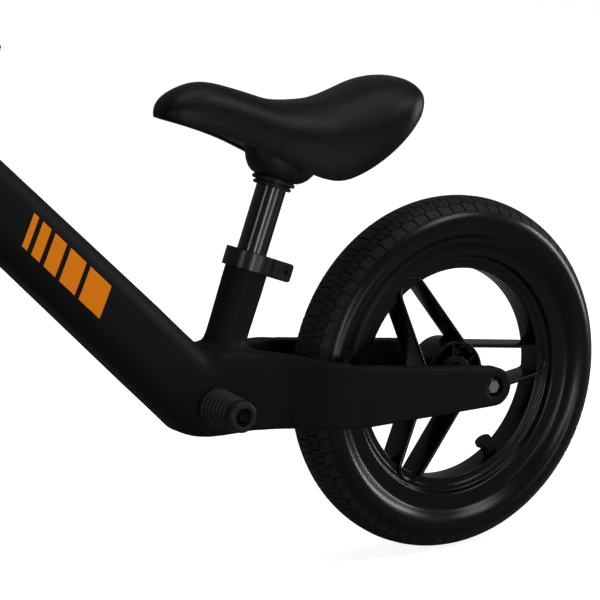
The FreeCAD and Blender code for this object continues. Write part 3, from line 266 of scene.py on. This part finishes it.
# cuts across the tread: share of the pitch, 1 where cut, and the row of blocks that it cuts
SHOULDER_ROW, MIDDLE_ROW, CENTRE_ROW = 1, 2, 3
TREAD_SHARES = [
    (0.0, 0, 1), (0.016, 1, 1), (0.104, 1, 1), (0.12, 0, 1),
    (0.3, 0, 2), (0.316, 1, 2), (0.394, 1, 2), (0.41, 0, 2),
    (0.56, 0, 3), (0.572, 1, 3), (0.606, 1, 3), (0.618, 0, 3),
    (0.8, 0, 2), (0.812, 1, 2), (0.846, 1, 2), (0.858, 0, 2),
]
ZIGZAG = 1.3
SKEW = 0.16
# half outlines as (radius, distance from the wheel's middle plane)
TYRE_INSIDE = [(112.0, 13.5), (124.0, 20.0), (136.0, 23.8), (144.5, 18.5), (149.0, 8.0)]
TYRE_PROFILE = np.array([
    (155.0, 0.0), (154.6, 5.0), (153.4, 10.5), (151.2, 16.0), (147.9, 20.8), (143.9, 24.6),
    (139.8, 27.0), (135.5, 28.0), (131.4, 27.6), (127.6, 26.0), (124.2, 23.6), (121.6, 21.2),
    (119.8, 19.6), (118.3, 18.9), (116.6, 18.7), (114.5, 16.5),
])


def tyre_lines():
    """Distances from the crown along the tyre's surface, and which of them are groove floors."""
    lines = [(0.0, 0)]
    position = 0.0
    for low, high in GROOVES:
        steps = max(1, int((low - position) / 2.4))
        for step in range(1, steps):
            lines.append((position + (low - position) * step / steps, 0))
        lines += [(low, 0), (low + GROOVE_WALL, 1), (high - GROOVE_WALL, 1), (high, 0)]
        position = high
    return lines


def tyre(name, centre, body, cad_nodes):
    """Tyre with block tread: a warped grid whose groove lines are sunk along the surface normal."""
    arc = np.concatenate([[0], np.cumsum(np.linalg.norm(np.diff(TYRE_PROFILE, axis=0), axis=1))])
    lines = tyre_lines()
    rest = [(s, 0) for s in np.arange(lines[-1][0] + 1.0, arc[-1], 1.5)] + [(arc[-1], 0)]
    half = lines + rest
    s = np.array([line[0] for line in half])
    sunk = np.array([line[1] for line in half])
    pitch = 2 * math.pi / TREAD_COUNT
    shares = np.array([item[0] for item in TREAD_SHARES])
    share = np.tile(shares, TREAD_COUNT) + np.repeat(np.arange(TREAD_COUNT), len(shares))

    def cuts(row):
        return np.tile([cut * (cut_row == row) for _, cut, cut_row in TREAD_SHARES], TREAD_COUNT)

    fraction = share % 1.0
    zigzag = np.interp(fraction, [0.0, 0.12, 1.0], [1.0, -1.0, 1.0])
    sides = []
    for side in (1, -1):
        window = np.clip(np.minimum((s - 3) / 4, (24 - s) / 4), 0, 1)
        along = s[None, :] + ZIGZAG * zigzag[:, None] * window[None, :] * side
        radius = curve_through(arc, TYRE_PROFILE[:, 0], along)
        y = curve_through(arc, TYRE_PROFILE[:, 1], along)
        step = 0.05
        d_radius = curve_through(arc, TYRE_PROFILE[:, 0], along + step) - radius
        d_y = curve_through(arc, TYRE_PROFILE[:, 1], along + step) - y
        length = np.hypot(d_radius, d_y)
        normal_radius, normal_y = d_y / length, -d_radius / length
        outer_row = (s > 17.8) & (s < TREAD_EDGE)
        middle_row = (s > 8.1) & (s < 17.1)
        centre_row = s < 7.3
        depth = np.maximum(sunk[None, :] * np.ones_like(along),
                           cuts(SHOULDER_ROW)[:, None] * (outer_row | centre_row)[None, :])
        depth = np.maximum(depth, cuts(MIDDLE_ROW)[:, None] * middle_row[None, :])
        depth = np.maximum(depth, cuts(CENTRE_ROW)[:, None] * centre_row[None, :])
        depth = depth * np.where(s > 25.5, 0.6, 1.0)[None, :] * GROOVE_DEEP
        radius = radius - normal_radius * depth
        y = y - normal_y * depth
        skew = SKEW * np.clip(s / 26, 0, 1) * side
        angle = (share[:, None] + skew[None, :]) * pitch
        sides.append((radius, y * side, angle))
    left, right = sides
    inner = np.array([(r, -y) for r, y in TYRE_INSIDE] + [(r, y) for r, y in TYRE_INSIDE[::-1]])
    columns = len(share)
    inside = inner[::-1]
    base = share[:, None] * pitch * np.ones(len(inner))[None, :]
    inside_radius, inside_y = (inside[:, item][None, :].repeat(columns, 0) for item in (0, 1))
    radius = np.concatenate([left[0], inside_radius, right[0][:, :0:-1]], 1)
    y = np.concatenate([left[1], inside_y, right[1][:, :0:-1]], 1)
    angle = np.concatenate([left[2], base, right[2][:, :0:-1]], 1)
    vertices = np.stack([radius * np.cos(angle) * MM, y * MM, radius * np.sin(angle) * MM], -1)
    count = vertices.shape[1]
    vertices = vertices.reshape(-1, 3) + centre
    faces = loop_faces(columns, count)
    piece = new_piece(name, vertices, faces, [TYRE, WALL], body, 25)
    # the smooth side wall starts past the last thin line
    first_wall = len(lines) - 1
    last_wall = count - first_wall
    column = np.arange(len(faces)) % count
    wall = ((column >= first_wall) & (column < last_wall)).astype(np.int32)
    piece.data.polygons.foreach_set("material_index", wall)
    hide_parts(*cad_nodes)
    return piece


tyre("rear_tyre_visual", REAR, "rear_wheel", ["rear_tyre"])
tyre("front_tyre_visual", FRONT, "front_wheel", ["front_tyre"])


# ---------------------------------------------------------------- cast wheels


def mirrored(half, radius):
    """A closed section from its left half (radius, y), with rounded corners."""
    return rounded(half + [(high, -y) for high, y in half[-2:0:-1]], radius)


RIM_SECTION = mirrored([
    (97.2, 0), (97.2, 7), (107.6, 12.6), (107.6, 15.3), (117.2, 15.6), (117.2, 18.6),
    (106.2, 18.7), (105.2, 17.6), (103.4, 13.8), (99.6, 13.4), (98.9, 12.0), (92.9, 11.4),
    (92.6, 0),
], 0.9)
HUB_SECTION = mirrored([
    (11.0, 0), (11.0, 6.3), (12.9, 6.6), (12.9, 14.4), (16.5, 14.5), (16.7, 3.4),
    (26.7, 3.2), (26.9, 14.5), (29.5, 14.5), (29.7, 0),
], 0.7)
SPOKE_TURNS = (180, 300, 60)


def spoke_path(steps=20):
    """Centre line (x, z) and sideways direction of the U-shaped rib that points along +X."""
    splay, reach, tangent, loop = math.radians(7.4), 95.0, 25.0, 12.9
    outer = np.array([math.cos(splay), math.sin(splay)]) * reach
    inner_angle = splay + math.acos(tangent / reach)
    inner = np.array([math.cos(inner_angle), math.sin(inner_angle)]) * tangent
    along = (outer - inner) / np.linalg.norm(outer - inner)
    across = np.array([along[1], -along[0]])
    centre = np.array([(loop + outer @ across) / across[0], 0.0])
    touch = centre - across * loop
    start_angle = math.atan2(-across[1], -across[0])
    points = [inner + along * 2.0, inner + along * 20, (inner + touch) / 2 + along * 8,
              touch - along * 3]
    normals = [-across] * 4
    for step in range(steps + 1):
        angle = start_angle * (1 - 2 * step / steps)
        direction = np.array([math.cos(angle), math.sin(angle)])
        points.append(centre + direction * loop)
        normals.append(direction)
    for point, normal in list(zip(points, normals))[3::-1]:
        points.append(np.array([point[0], -point[1]]))
        normals.append(np.array([normal[0], -normal[1]]))
    return np.array(points), np.array(normals)


def spokes():
    """Three looped ribs, each a thin section carried along the spoke's path."""
    points, normals = spoke_path()
    section = rounded([(-1.5, -14.0), (1.5, -14.0), (2.0, -2.0), (2.0, 2.0), (1.5, 14.0),
                       (-1.5, 14.0), (-2.0, 2.0), (-2.0, -2.0)], [1.1, 1.1, 3, 3, 1.1, 1.1, 3, 3])
    parts = []
    for degrees in SPOKE_TURNS:
        turn = math.radians(degrees)
        spin = np.array([[math.cos(turn), -math.sin(turn)], [math.sin(turn), math.cos(turn)]])
        rings = []
        for point, normal in zip(points, normals):
            flat = (point + section[:, :1] * normal) @ spin.T
            rings.append(np.stack([flat[:, 0], section[:, 1], flat[:, 1]], -1))
        vertices = np.concatenate(rings) * MM
        count = len(section)
        faces = [list(face) for face in loop_faces(len(rings), count, closed_along=False)]
        faces.append(list(range(count))[::-1])
        faces.append([(len(rings) - 1) * count + index for index in range(count)])
        parts.append((vertices, faces))
    return parts


def hub_ribs():
    """Six webs between the hub's core and its ring."""
    parts = []
    for index in range(6):
        turn = math.radians(60 * index + 30)
        ahead = np.array([math.cos(turn), math.sin(turn)])
        aside = np.array([-ahead[1], ahead[0]])
        corners = []
        for along, wide in ((16.0, -1.1), (27.5, -1.1), (27.5, 1.1), (16.0, 1.1)):
            corners.append(ahead * along + aside * wide)
        vertices = [(corner[0], y, corner[1]) for y in (-12.0, 12.0) for corner in corners]
        faces = [(0, 1, 2, 3), (7, 6, 5, 4), (0, 4, 5, 1), (1, 5, 6, 2), (2, 6, 7, 3), (3, 7, 4, 0)]
        parts.append((np.array(vertices) * MM, faces))
    return parts


def wheel(name, centre, body, cad_node):
    origin = np.zeros(3)
    turned = [lathe(RIM_SECTION, 256, origin), lathe(HUB_SECTION, 96, origin)]
    parts = turned + spokes() + hub_ribs()
    vertices, faces = joined(parts)
    piece = new_piece(name, vertices + centre, faces, WHEEL, body, 40)
    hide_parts(cad_node)
    return piece


wheel("rear_wheel_visual", REAR, "rear_wheel", "rear_wheel")
wheel("front_wheel_visual", FRONT, "front_wheel", "front_wheel")


# ---------------------------------------------------------------- castings with soft edges


def relax(piece, middle, reach, passes):
    """Round the joins near a line across the bike: middle is (x, z) from the rear axle in mm."""
    count = len(piece.data.vertices)
    places = np.empty(count * 3)
    piece.data.vertices.foreach_get("co", places)
    places = (places.reshape(-1, 3) - REAR) / MM
    apart = np.hypot(places[:, 0] - middle[0], places[:, 2] - middle[1])
    weight = np.clip((1 - apart / reach) * 2, 0, 1)
    group = piece.vertex_groups.new(name="join")
    levels = np.round(weight * 20).astype(int)
    for level in range(1, 21):
        group.add(np.nonzero(levels == level)[0].tolist(), level / 20, "REPLACE")
    smooth = piece.modifiers.new("join", "SMOOTH")
    smooth.factor = 0.5
    smooth.iterations = passes
    smooth.vertex_group = "join"
    graph = bpy.context.evaluated_depsgraph_get()
    mesh = bpy.data.meshes.new_from_object(piece.evaluated_get(graph))
    piece.modifiers.clear()
    piece.vertex_groups.clear()
    piece.data = mesh


def soft_casting(name, cad_node, body, voxel, passes, material, joins=()):
    """The CAD casting, re-skinned evenly and relaxed so that its edges and joins are rounded."""
    piece = evaluated(nodes[cad_node], name, [
        ("REMESH", {"mode": "VOXEL", "voxel_size": voxel, "adaptivity": 0.0}),
        ("SMOOTH", {"factor": 0.5, "iterations": passes}),
    ])
    for middle, reach, more in joins:
        relax(piece, middle, reach, more)
    finish_piece(piece, material, body, 60)
    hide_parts(cad_node)
    return piece


FRAME_JOINS = [((250, 42), 72, 220)]
soft_casting("frame_visual", "frame", "frame", 0.0012, 14, PAINT, FRAME_JOINS)
soft_casting("fork_visual", "fork", "steering", 0.0012, 12, PAINT)

# smaller machined and moulded pieces: CAD node, body it rides on, slot, voxel, passes
SMALL_PIECES = [
    ("seat_clamp_collar", "frame", "clamp_paint", 0.0005, 4),
    ("handlebar_clamp_collar", "steering", "clamp_paint", 0.0005, 4),
    ("handlebar_stem", "handlebar", "clamp_paint", 0.0006, 8),
    ("stem_cap", "handlebar", "clamp_paint", 0.0006, 8),
    ("footpeg_left", "frame", "grip", 0.0005, 4),
    ("footpeg_right", "frame", "grip", 0.0005, 4),
]
for cad_node, body, slot, voxel, passes in SMALL_PIECES:
    soft_casting(cad_node + "_visual", cad_node, body, voxel, passes, SLOT_LOOKS[slot])


# ---------------------------------------------------------------- grips


def grip_outline():
    """Closed (radius, distance outwards) outline: finger flange, grooved grip, end knob."""
    line = [(11.2, 0.0), (18.0, 0.0), (19.5, 0.6), (20.0, 1.8), (20.0, 3.2), (19.4, 4.0),
            (16.4, 5.8), (15.0, 7.6)]
    groove, pitch, start = 1.7, 5.0, 10.5
    for index in range(16):
        low = start + pitch * index
        line += [(14.9, low), (14.2, low + 0.4), (14.1, low + groove - 0.4), (14.9, low + groove)]
    line += [(14.7, 91.5), (16.2, 93.2), (18.2, 96.0), (19.0, 99.0), (19.0, 102.0),
             (18.2, 106.0), (16.6, 109.4), (14.0, 111.5), (11.0, 112.0), (0.2, 112.0),
             (0.2, 104.0), (11.2, 104.0)]
    return np.array(line)


def grip(side, sign):
    low, high = (np.array(corner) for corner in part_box("grip_" + side))
    inner_end = low[1] if sign > 0 else high[1]
    centre = np.array([(low[0] + high[0]) / 2, inner_end, (low[2] + high[2]) / 2])
    outline = grip_outline() * np.array([1, sign])
    vertices, faces = lathe(outline[::sign], 72, centre)
    piece = new_piece("grip_%s_visual" % side, vertices, faces, GRIP, "handlebar", 50)
    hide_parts("grip_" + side)


grip("left", 1)
grip("right", -1)


# ---------------------------------------------------------------- saddle

# the saddle's stations: ahead of the rear axle, half width, crown height, skirt height (mm)
SADDLE_STATIONS = np.array([
    (291.0, 1.5, 249.4, 247.6), (290.3, 6.4, 252.4, 247.5), (288.5, 11.2, 256.4, 247.1),
    (283.6, 17.2, 262.9, 245.5), (273.8, 22.3, 268.9, 242.06), (251.8, 26.96, 274.2, 234.93),
    (215.0, 30.82, 264.67, 220.54), (178.2, 35.67, 253.02, 202.17), (141.5, 44.34, 251.09, 186.85),
    (112.1, 49.36, 255.94, 196.21), (82.6, 50.93, 263.74, 214.37), (60.6, 45.2, 264.89, 231.82),
    (50.0, 34.0, 259.5, 239.0), (43.4, 21.5, 252.6, 242.3), (41.8, 12.5, 249.0, 243.2),
    (41.0, 2.0, 245.8, 243.6),
])
SADDLE_NOSE, SADDLE_TAIL = SADDLE_STATIONS[0, 0], SADDLE_STATIONS[-1, 0]
SADDLE_SHARES = (SADDLE_NOSE - SADDLE_STATIONS[:, 0]) / (SADDLE_NOSE - SADDLE_TAIL)
WIDE, CROWN, SKIRT = 1, 2, 3
PAD_THICK = 6.0


def saddle_ring(x, wide, crown, skirt, inset):
    """One cross-section as an open line from the left skirt over the crown to the right skirt."""
    steps = np.linspace(0, math.pi / 2, 15)
    side = skirt + 0.25 * (crown - skirt)
    y = wide * np.sin(steps) ** 0.85
    z = side + (crown - side) * np.cos(steps) ** 0.8
    y = np.concatenate([y, [0.99 * wide, 0.972 * wide, 0.95 * wide]])
    z = np.concatenate([z, [side + (skirt - side) * 0.35, side + (skirt - side) * 0.7, skirt]])
    y = np.concatenate([y[::-1], -y[1:]])
    z = np.concatenate([z[::-1], z[1:]])
    ring = np.stack([np.full_like(y, x), y, z], -1)
    middle = np.array([x, 0, side])
    ring[:, 1] *= max(0.02, (wide - inset) / wide)
    flatter = max(0.02, (crown - side - inset) / max(crown - side, 1e-6))
    above = ring[:, 2] > middle[2]
    ring[:, 2] = np.where(above, middle[2] + (ring[:, 2] - middle[2]) * flatter, ring[:, 2])
    return ring


def eased(column, share):
    """A line through the saddle's stations, averaged over a short stretch away from the ends."""
    values = SADDLE_STATIONS[:, column]
    stretch = 0.045 * np.clip((np.minimum(share, 1 - share) - 0.02) / 0.08, 0, 1)
    total = np.zeros_like(share)
    steps = np.linspace(-1, 1, 9)
    for step in steps:
        total += curve_through(SADDLE_SHARES, values, share + step * stretch)
    return total / len(steps)


def saddle_rings(inset):
    """The saddle's cross-sections from nose to tail, drawn in by inset."""
    share = 0.5 - 0.5 * np.cos(np.linspace(0, math.pi, 72))
    wide = eased(WIDE, share)
    crown = eased(CROWN, share)
    skirt = eased(SKIRT, share)
    x = SADDLE_NOSE + (SADDLE_TAIL - SADDLE_NOSE) * share
    rings = [saddle_ring(*values, inset) for values in zip(x, wide, crown, skirt)]
    # round the two ends off
    for end, push in ((0, 0.4), (-1, -0.4)):
        extra = []
        for step in range(1, 4):
            turn = math.pi / 2 * step / 3
            ring = rings[end].copy()
            ring[:, 0] += push * math.sin(turn)
            ring[:, 1] *= max(0.02, math.cos(turn))
            ring[:, 2] = skirt[end] + (ring[:, 2] - skirt[end]) * max(0.03, math.cos(turn))
            extra.append(ring)
        rings = extra[::-1] + rings if end == 0 else rings + extra
    return np.array(rings)


def saddle():
    """The padded cover: an outer and an inner skin, closed along the skirt and at both ends."""
    outer = saddle_rings(0.0)
    inner = saddle_rings(PAD_THICK)
    shrink = np.linspace(0, 1, len(inner))
    inner[:, :, 0] += (PAD_THICK * (shrink * 2 - 1))[:, None] * 0.6
    rings, count = outer.shape[:2]
    vertices = np.concatenate([outer.reshape(-1, 3), inner.reshape(-1, 3)]) * MM + REAR
    faces = [list(face) for face in loop_faces(rings, count, False, False)]
    offset = rings * count
    faces += [[index + offset for index in face[::-1]] for face in faces[:]]
    edge = [row * count for row in range(rings)]
    far = [row * count + count - 1 for row in range(rings)]
    for line, flip in ((edge, False), (far, True)):
        for first, second in zip(line, line[1:]):
            face = [first, first + offset, second + offset, second]
            faces.append(face[::-1] if flip else face)
    for row, flip in ((0, True), (rings - 1, False)):
        line = [row * count + index for index in range(count)]
        for first, second in zip(line, line[1:]):
            face = [first, first + offset, second + offset, second]
            faces.append(face[::-1] if flip else face)
    piece = new_piece("saddle_cover_visual", vertices, faces, COVER, "seat", 60)
    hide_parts("saddle_cover")
    return piece


saddle()


def saddle_pan():
    """The moulded plate that closes the saddle from below, just inside the cover's skirt."""
    share = np.linspace(0.02, 0.98, 60)
    wide = eased(WIDE, share) * 0.95 - 2.0
    skirt = eased(SKIRT, share)
    x = SADDLE_NOSE + (SADDLE_TAIL - SADDLE_NOSE) * share
    across = np.linspace(-1, 1, 17)
    dish = 2.5 * (1 - across ** 2)
    section_y = np.concatenate([across, across[::-1]])
    section_z = np.concatenate([1.2 + dish, 3.6 + dish[::-1]])
    rings = []
    for position, half, low in zip(x, wide, skirt):
        line = [np.full(len(section_y), position), section_y * half, section_z + low]
        rings.append(np.stack(line, -1))
    count = len(section_y)
    vertices = np.concatenate(rings) * MM + REAR
    faces = [list(face) for face in loop_faces(len(rings), count, closed_along=False)]
    faces.append(list(range(count))[::-1])
    faces.append([(len(rings) - 1) * count + index for index in range(count)])
    piece = new_piece("saddle_pan_visual", vertices, faces, MOULDED, "seat", 40)
    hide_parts("saddle_pan")


saddle_pan()


# ---------------------------------------------------------------- saddle neck


def seat_frame(local):
    """Points given as (ahead, left, along the seat post) in mm, in the row frame."""
    turn = np.array([[math.cos(SEAT_LEAN), 0, -math.sin(SEAT_LEAN)], [0, 1, 0],
                     [math.sin(SEAT_LEAN), 0, math.cos(SEAT_LEAN)]])
    return (np.asarray(local) @ turn.T + SEAT_FOOT) * MM + REAR


def saddle_neck():
    """Stepped collar and flared bowl between the post and the saddle."""
    # height along the post, reach ahead, reach aside
    levels = [
        (193.0, 13.2, 13.2), (193.0, 15.4, 15.4), (193.4, 16.2, 16.2), (195.4, 16.3, 16.3),
        (195.8, 15.7, 15.7), (196.1, 15.0, 15.0), (196.7, 15.0, 15.0), (196.9, 17.4, 17.4),
        (197.3, 18.3, 18.3), (199.4, 18.4, 18.4), (199.9, 17.8, 17.8), (200.2, 17.0, 17.0),
        (200.7, 17.2, 17.0), (201.6, 21.0, 18.6), (204.0, 25.2, 20.4), (208.0, 29.4, 21.9),
        (214.0, 33.4, 22.8), (222.0, 36.4, 23.0), (236.0, 38.8, 23.0), (236.0, 13.2, 13.2),
    ]
    count = 72
    angles = np.linspace(0, 2 * math.pi, count, endpoint=False)
    rings = []
    for height, ahead, aside in levels:
        line = [ahead * np.cos(angles), aside * np.sin(angles), np.full(count, height)]
        rings.append(np.stack(line, -1))
    local = np.concatenate(rings)
    # the bowl's top follows the pan, which rises towards the nose
    lift = np.clip((local[:, 2] - 202) / 34, 0, 1)
    local[:, 2] += lift * np.clip(local[:, 0] * 0.16, -8, 8)
    faces = loop_faces(len(levels), count)
    piece = new_piece("saddle_neck_visual", seat_frame(local), faces, MOULDED, "seat",
                      35)
    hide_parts("saddle_neck")


saddle_neck()


# ---------------------------------------------------------------- printed bars on the down tube


DOWN_TUBE_RISE = math.radians(44.1)
DOWN_TUBE_FOOT = np.array([249.5, 0, 4.7])
DOWN_TUBE_SIDE = 30
BAR_SPANS = [(150, 176), (181, 200), (205, 219), (224, 234), (239, 245)]
BAR_HALF_HEIGHT = 13
BAR_SLANT = 0.35
BAR_ROWS, BAR_COLUMNS = 6, 8


def printed_bars():
    """Five slanted bars, as thin closed plates laid on the left side of the down tube."""
    ahead = np.array([math.cos(DOWN_TUBE_RISE), 0, math.sin(DOWN_TUBE_RISE)])
    above = np.array([-math.sin(DOWN_TUBE_RISE), 0, math.cos(DOWN_TUBE_RISE)])
    beside = np.array([0, DOWN_TUBE_SIDE, 0])
    parts = []
    for low, high in BAR_SPANS:
        vertices = []
        for row in range(BAR_ROWS):
            v = -BAR_HALF_HEIGHT + 2 * BAR_HALF_HEIGHT * row / (BAR_ROWS - 1)
            for column in range(BAR_COLUMNS):
                u = low + (high - low) * column / (BAR_COLUMNS - 1) + BAR_SLANT * v
                point = DOWN_TUBE_FOOT + ahead * u + above * v + beside
                vertices.append(point * MM + REAR)
        parts.append((np.array(vertices), loop_faces(BAR_ROWS, BAR_COLUMNS, False, False)))
    vertices, faces = joined(parts)
    piece = new_piece("frame_printed_bars", vertices, faces, ORANGE, "frame", 60)
    wrap = piece.modifiers.new("wrap", "SHRINKWRAP")
    wrap.target = bpy.data.objects["frame_visual"]
    wrap.wrap_method = "PROJECT"
    wrap.use_project_y = True
    wrap.use_negative_direction = True
    wrap.use_positive_direction = False
    wrap.offset = 0.0003
    thick = piece.modifiers.new("thick", "SOLIDIFY")
    thick.thickness = 0.0006
    thick.offset = -1.0
    graph = bpy.context.evaluated_depsgraph_get()
    mesh = bpy.data.meshes.new_from_object(piece.evaluated_get(graph))
    piece.modifiers.clear()
    piece.data = mesh
    piece.data.set_sharp_from_angle(angle=math.radians(60))


printed_bars()


# ---------------------------------------------------------------- camera, floor and lights


LENS, SENSOR = 184.02, 36.0
CAMERA_PLACE = (1.2627, 2.0778, 0.7750)
CAMERA_AIM = (-0.2080, -0.0818, 0.2156)
FLOOR_HALF = 30.0
LIGHT_AIM = (-0.15, 0.0, 0.25)
# name, place (m), width (m), power (W), height (m, or None for a square)
LIGHTS = [
    ("top", (-0.3, 0.1, 3.0), 2.4, 22, None),
    ("key", (-1.4, 1.3, 2.0), 0.8, 12, None),
    ("left strip", (0.55, 2.6, 0.55), 0.22, 10, 1.3),
    ("low strip", (-0.25, 1.9, 0.1), 1.6, 4, 0.12),
    ("front strip", (2.3, 1.1, 0.8), 0.2, 7, 1.5),
    ("rear strip", (-2.4, 0.4, 0.45), 0.3, 16, 1.2),
]


def turned_to(place, aim):
    """The rotation of a camera or light at place that looks at aim."""
    return (Vector(aim) - Vector(place)).to_track_quat("-Z", "Y").to_euler()


def area_light(name, place, size, power, size_y):
    data = bpy.data.lights.new(name, "AREA")
    data.energy = power
    data.size = size
    if size_y:
        data.shape = "RECTANGLE"
        data.size_y = size_y
    light = bpy.data.objects.new(name, data)
    light.location = place
    light.rotation_euler = turned_to(place, LIGHT_AIM)
    scene.collection.objects.link(light)


def set_camera():
    data = bpy.data.cameras.new("photo camera")
    data.sensor_width = SENSOR
    data.lens = LENS
    camera = bpy.data.objects.new("photo camera", data)
    camera.location = CAMERA_PLACE
    camera.rotation_euler = turned_to(CAMERA_PLACE, CAMERA_AIM)
    scene.collection.objects.link(camera)
    scene.camera = camera


def set_floor():
    """Pale floor: full white in the picture, and a dim bounce on the bike."""
    mesh = bpy.data.meshes.new("floor")
    corners = [(x * FLOOR_HALF, y * FLOOR_HALF, 0) for x, y in ((-1, -1), (1, -1), (1, 1), (-1, 1))]
    mesh.from_pydata(corners, [], [(0, 1, 2, 3)])
    floor = bpy.data.objects.new("floor", mesh)
    paper = shader("floor", (0.8, 0.8, 0.8), 0.9, specular=0.0, spread=0.01, patch=2.0)
    tree = paper.node_tree
    seen = tree.nodes["Principled BSDF"]
    seen.inputs["Emission Color"].default_value = (1.0, 1.0, 1.0, 1.0)
    seen.inputs["Emission Strength"].default_value = 0.86
    bounce = tree.nodes.new("ShaderNodeBsdfDiffuse")
    bounce.inputs["Color"].default_value = (0.3, 0.3, 0.3, 1.0)
    path = tree.nodes.new("ShaderNodeLightPath")
    mix = tree.nodes.new("ShaderNodeMixShader")
    tree.links.new(path.outputs["Is Camera Ray"], mix.inputs["Fac"])
    tree.links.new(bounce.outputs["BSDF"], mix.inputs[1])
    tree.links.new(seen.outputs["BSDF"], mix.inputs[2])
    tree.links.new(mix.outputs["Shader"], tree.nodes["Material Output"].inputs["Surface"])
    floor.data.materials.append(paper)
    scene.collection.objects.link(floor)


def set_world():
    """White behind the bike, and a dim even light on it."""
    world = bpy.data.worlds.new("studio")
    world.use_nodes = True
    tree = world.node_tree
    seen = tree.nodes["Background"]
    seen.inputs["Color"].default_value = (1.0, 1.0, 1.0, 1.0)
    seen.inputs["Strength"].default_value = 1.0
    lit = tree.nodes.new("ShaderNodeBackground")
    lit.inputs["Color"].default_value = (1.0, 1.0, 1.0, 1.0)
    lit.inputs["Strength"].default_value = 0.13
    path = tree.nodes.new("ShaderNodeLightPath")
    mix = tree.nodes.new("ShaderNodeMixShader")
    tree.links.new(path.outputs["Is Camera Ray"], mix.inputs["Fac"])
    tree.links.new(lit.outputs["Background"], mix.inputs[1])
    tree.links.new(seen.outputs["Background"], mix.inputs[2])
    tree.links.new(mix.outputs["Shader"], tree.nodes["World Output"].inputs["Surface"])
    scene.world = world


set_camera()
set_floor()
set_world()
for light in LIGHTS:
    area_light(*light)
scene.view_settings.view_transform = "Standard"
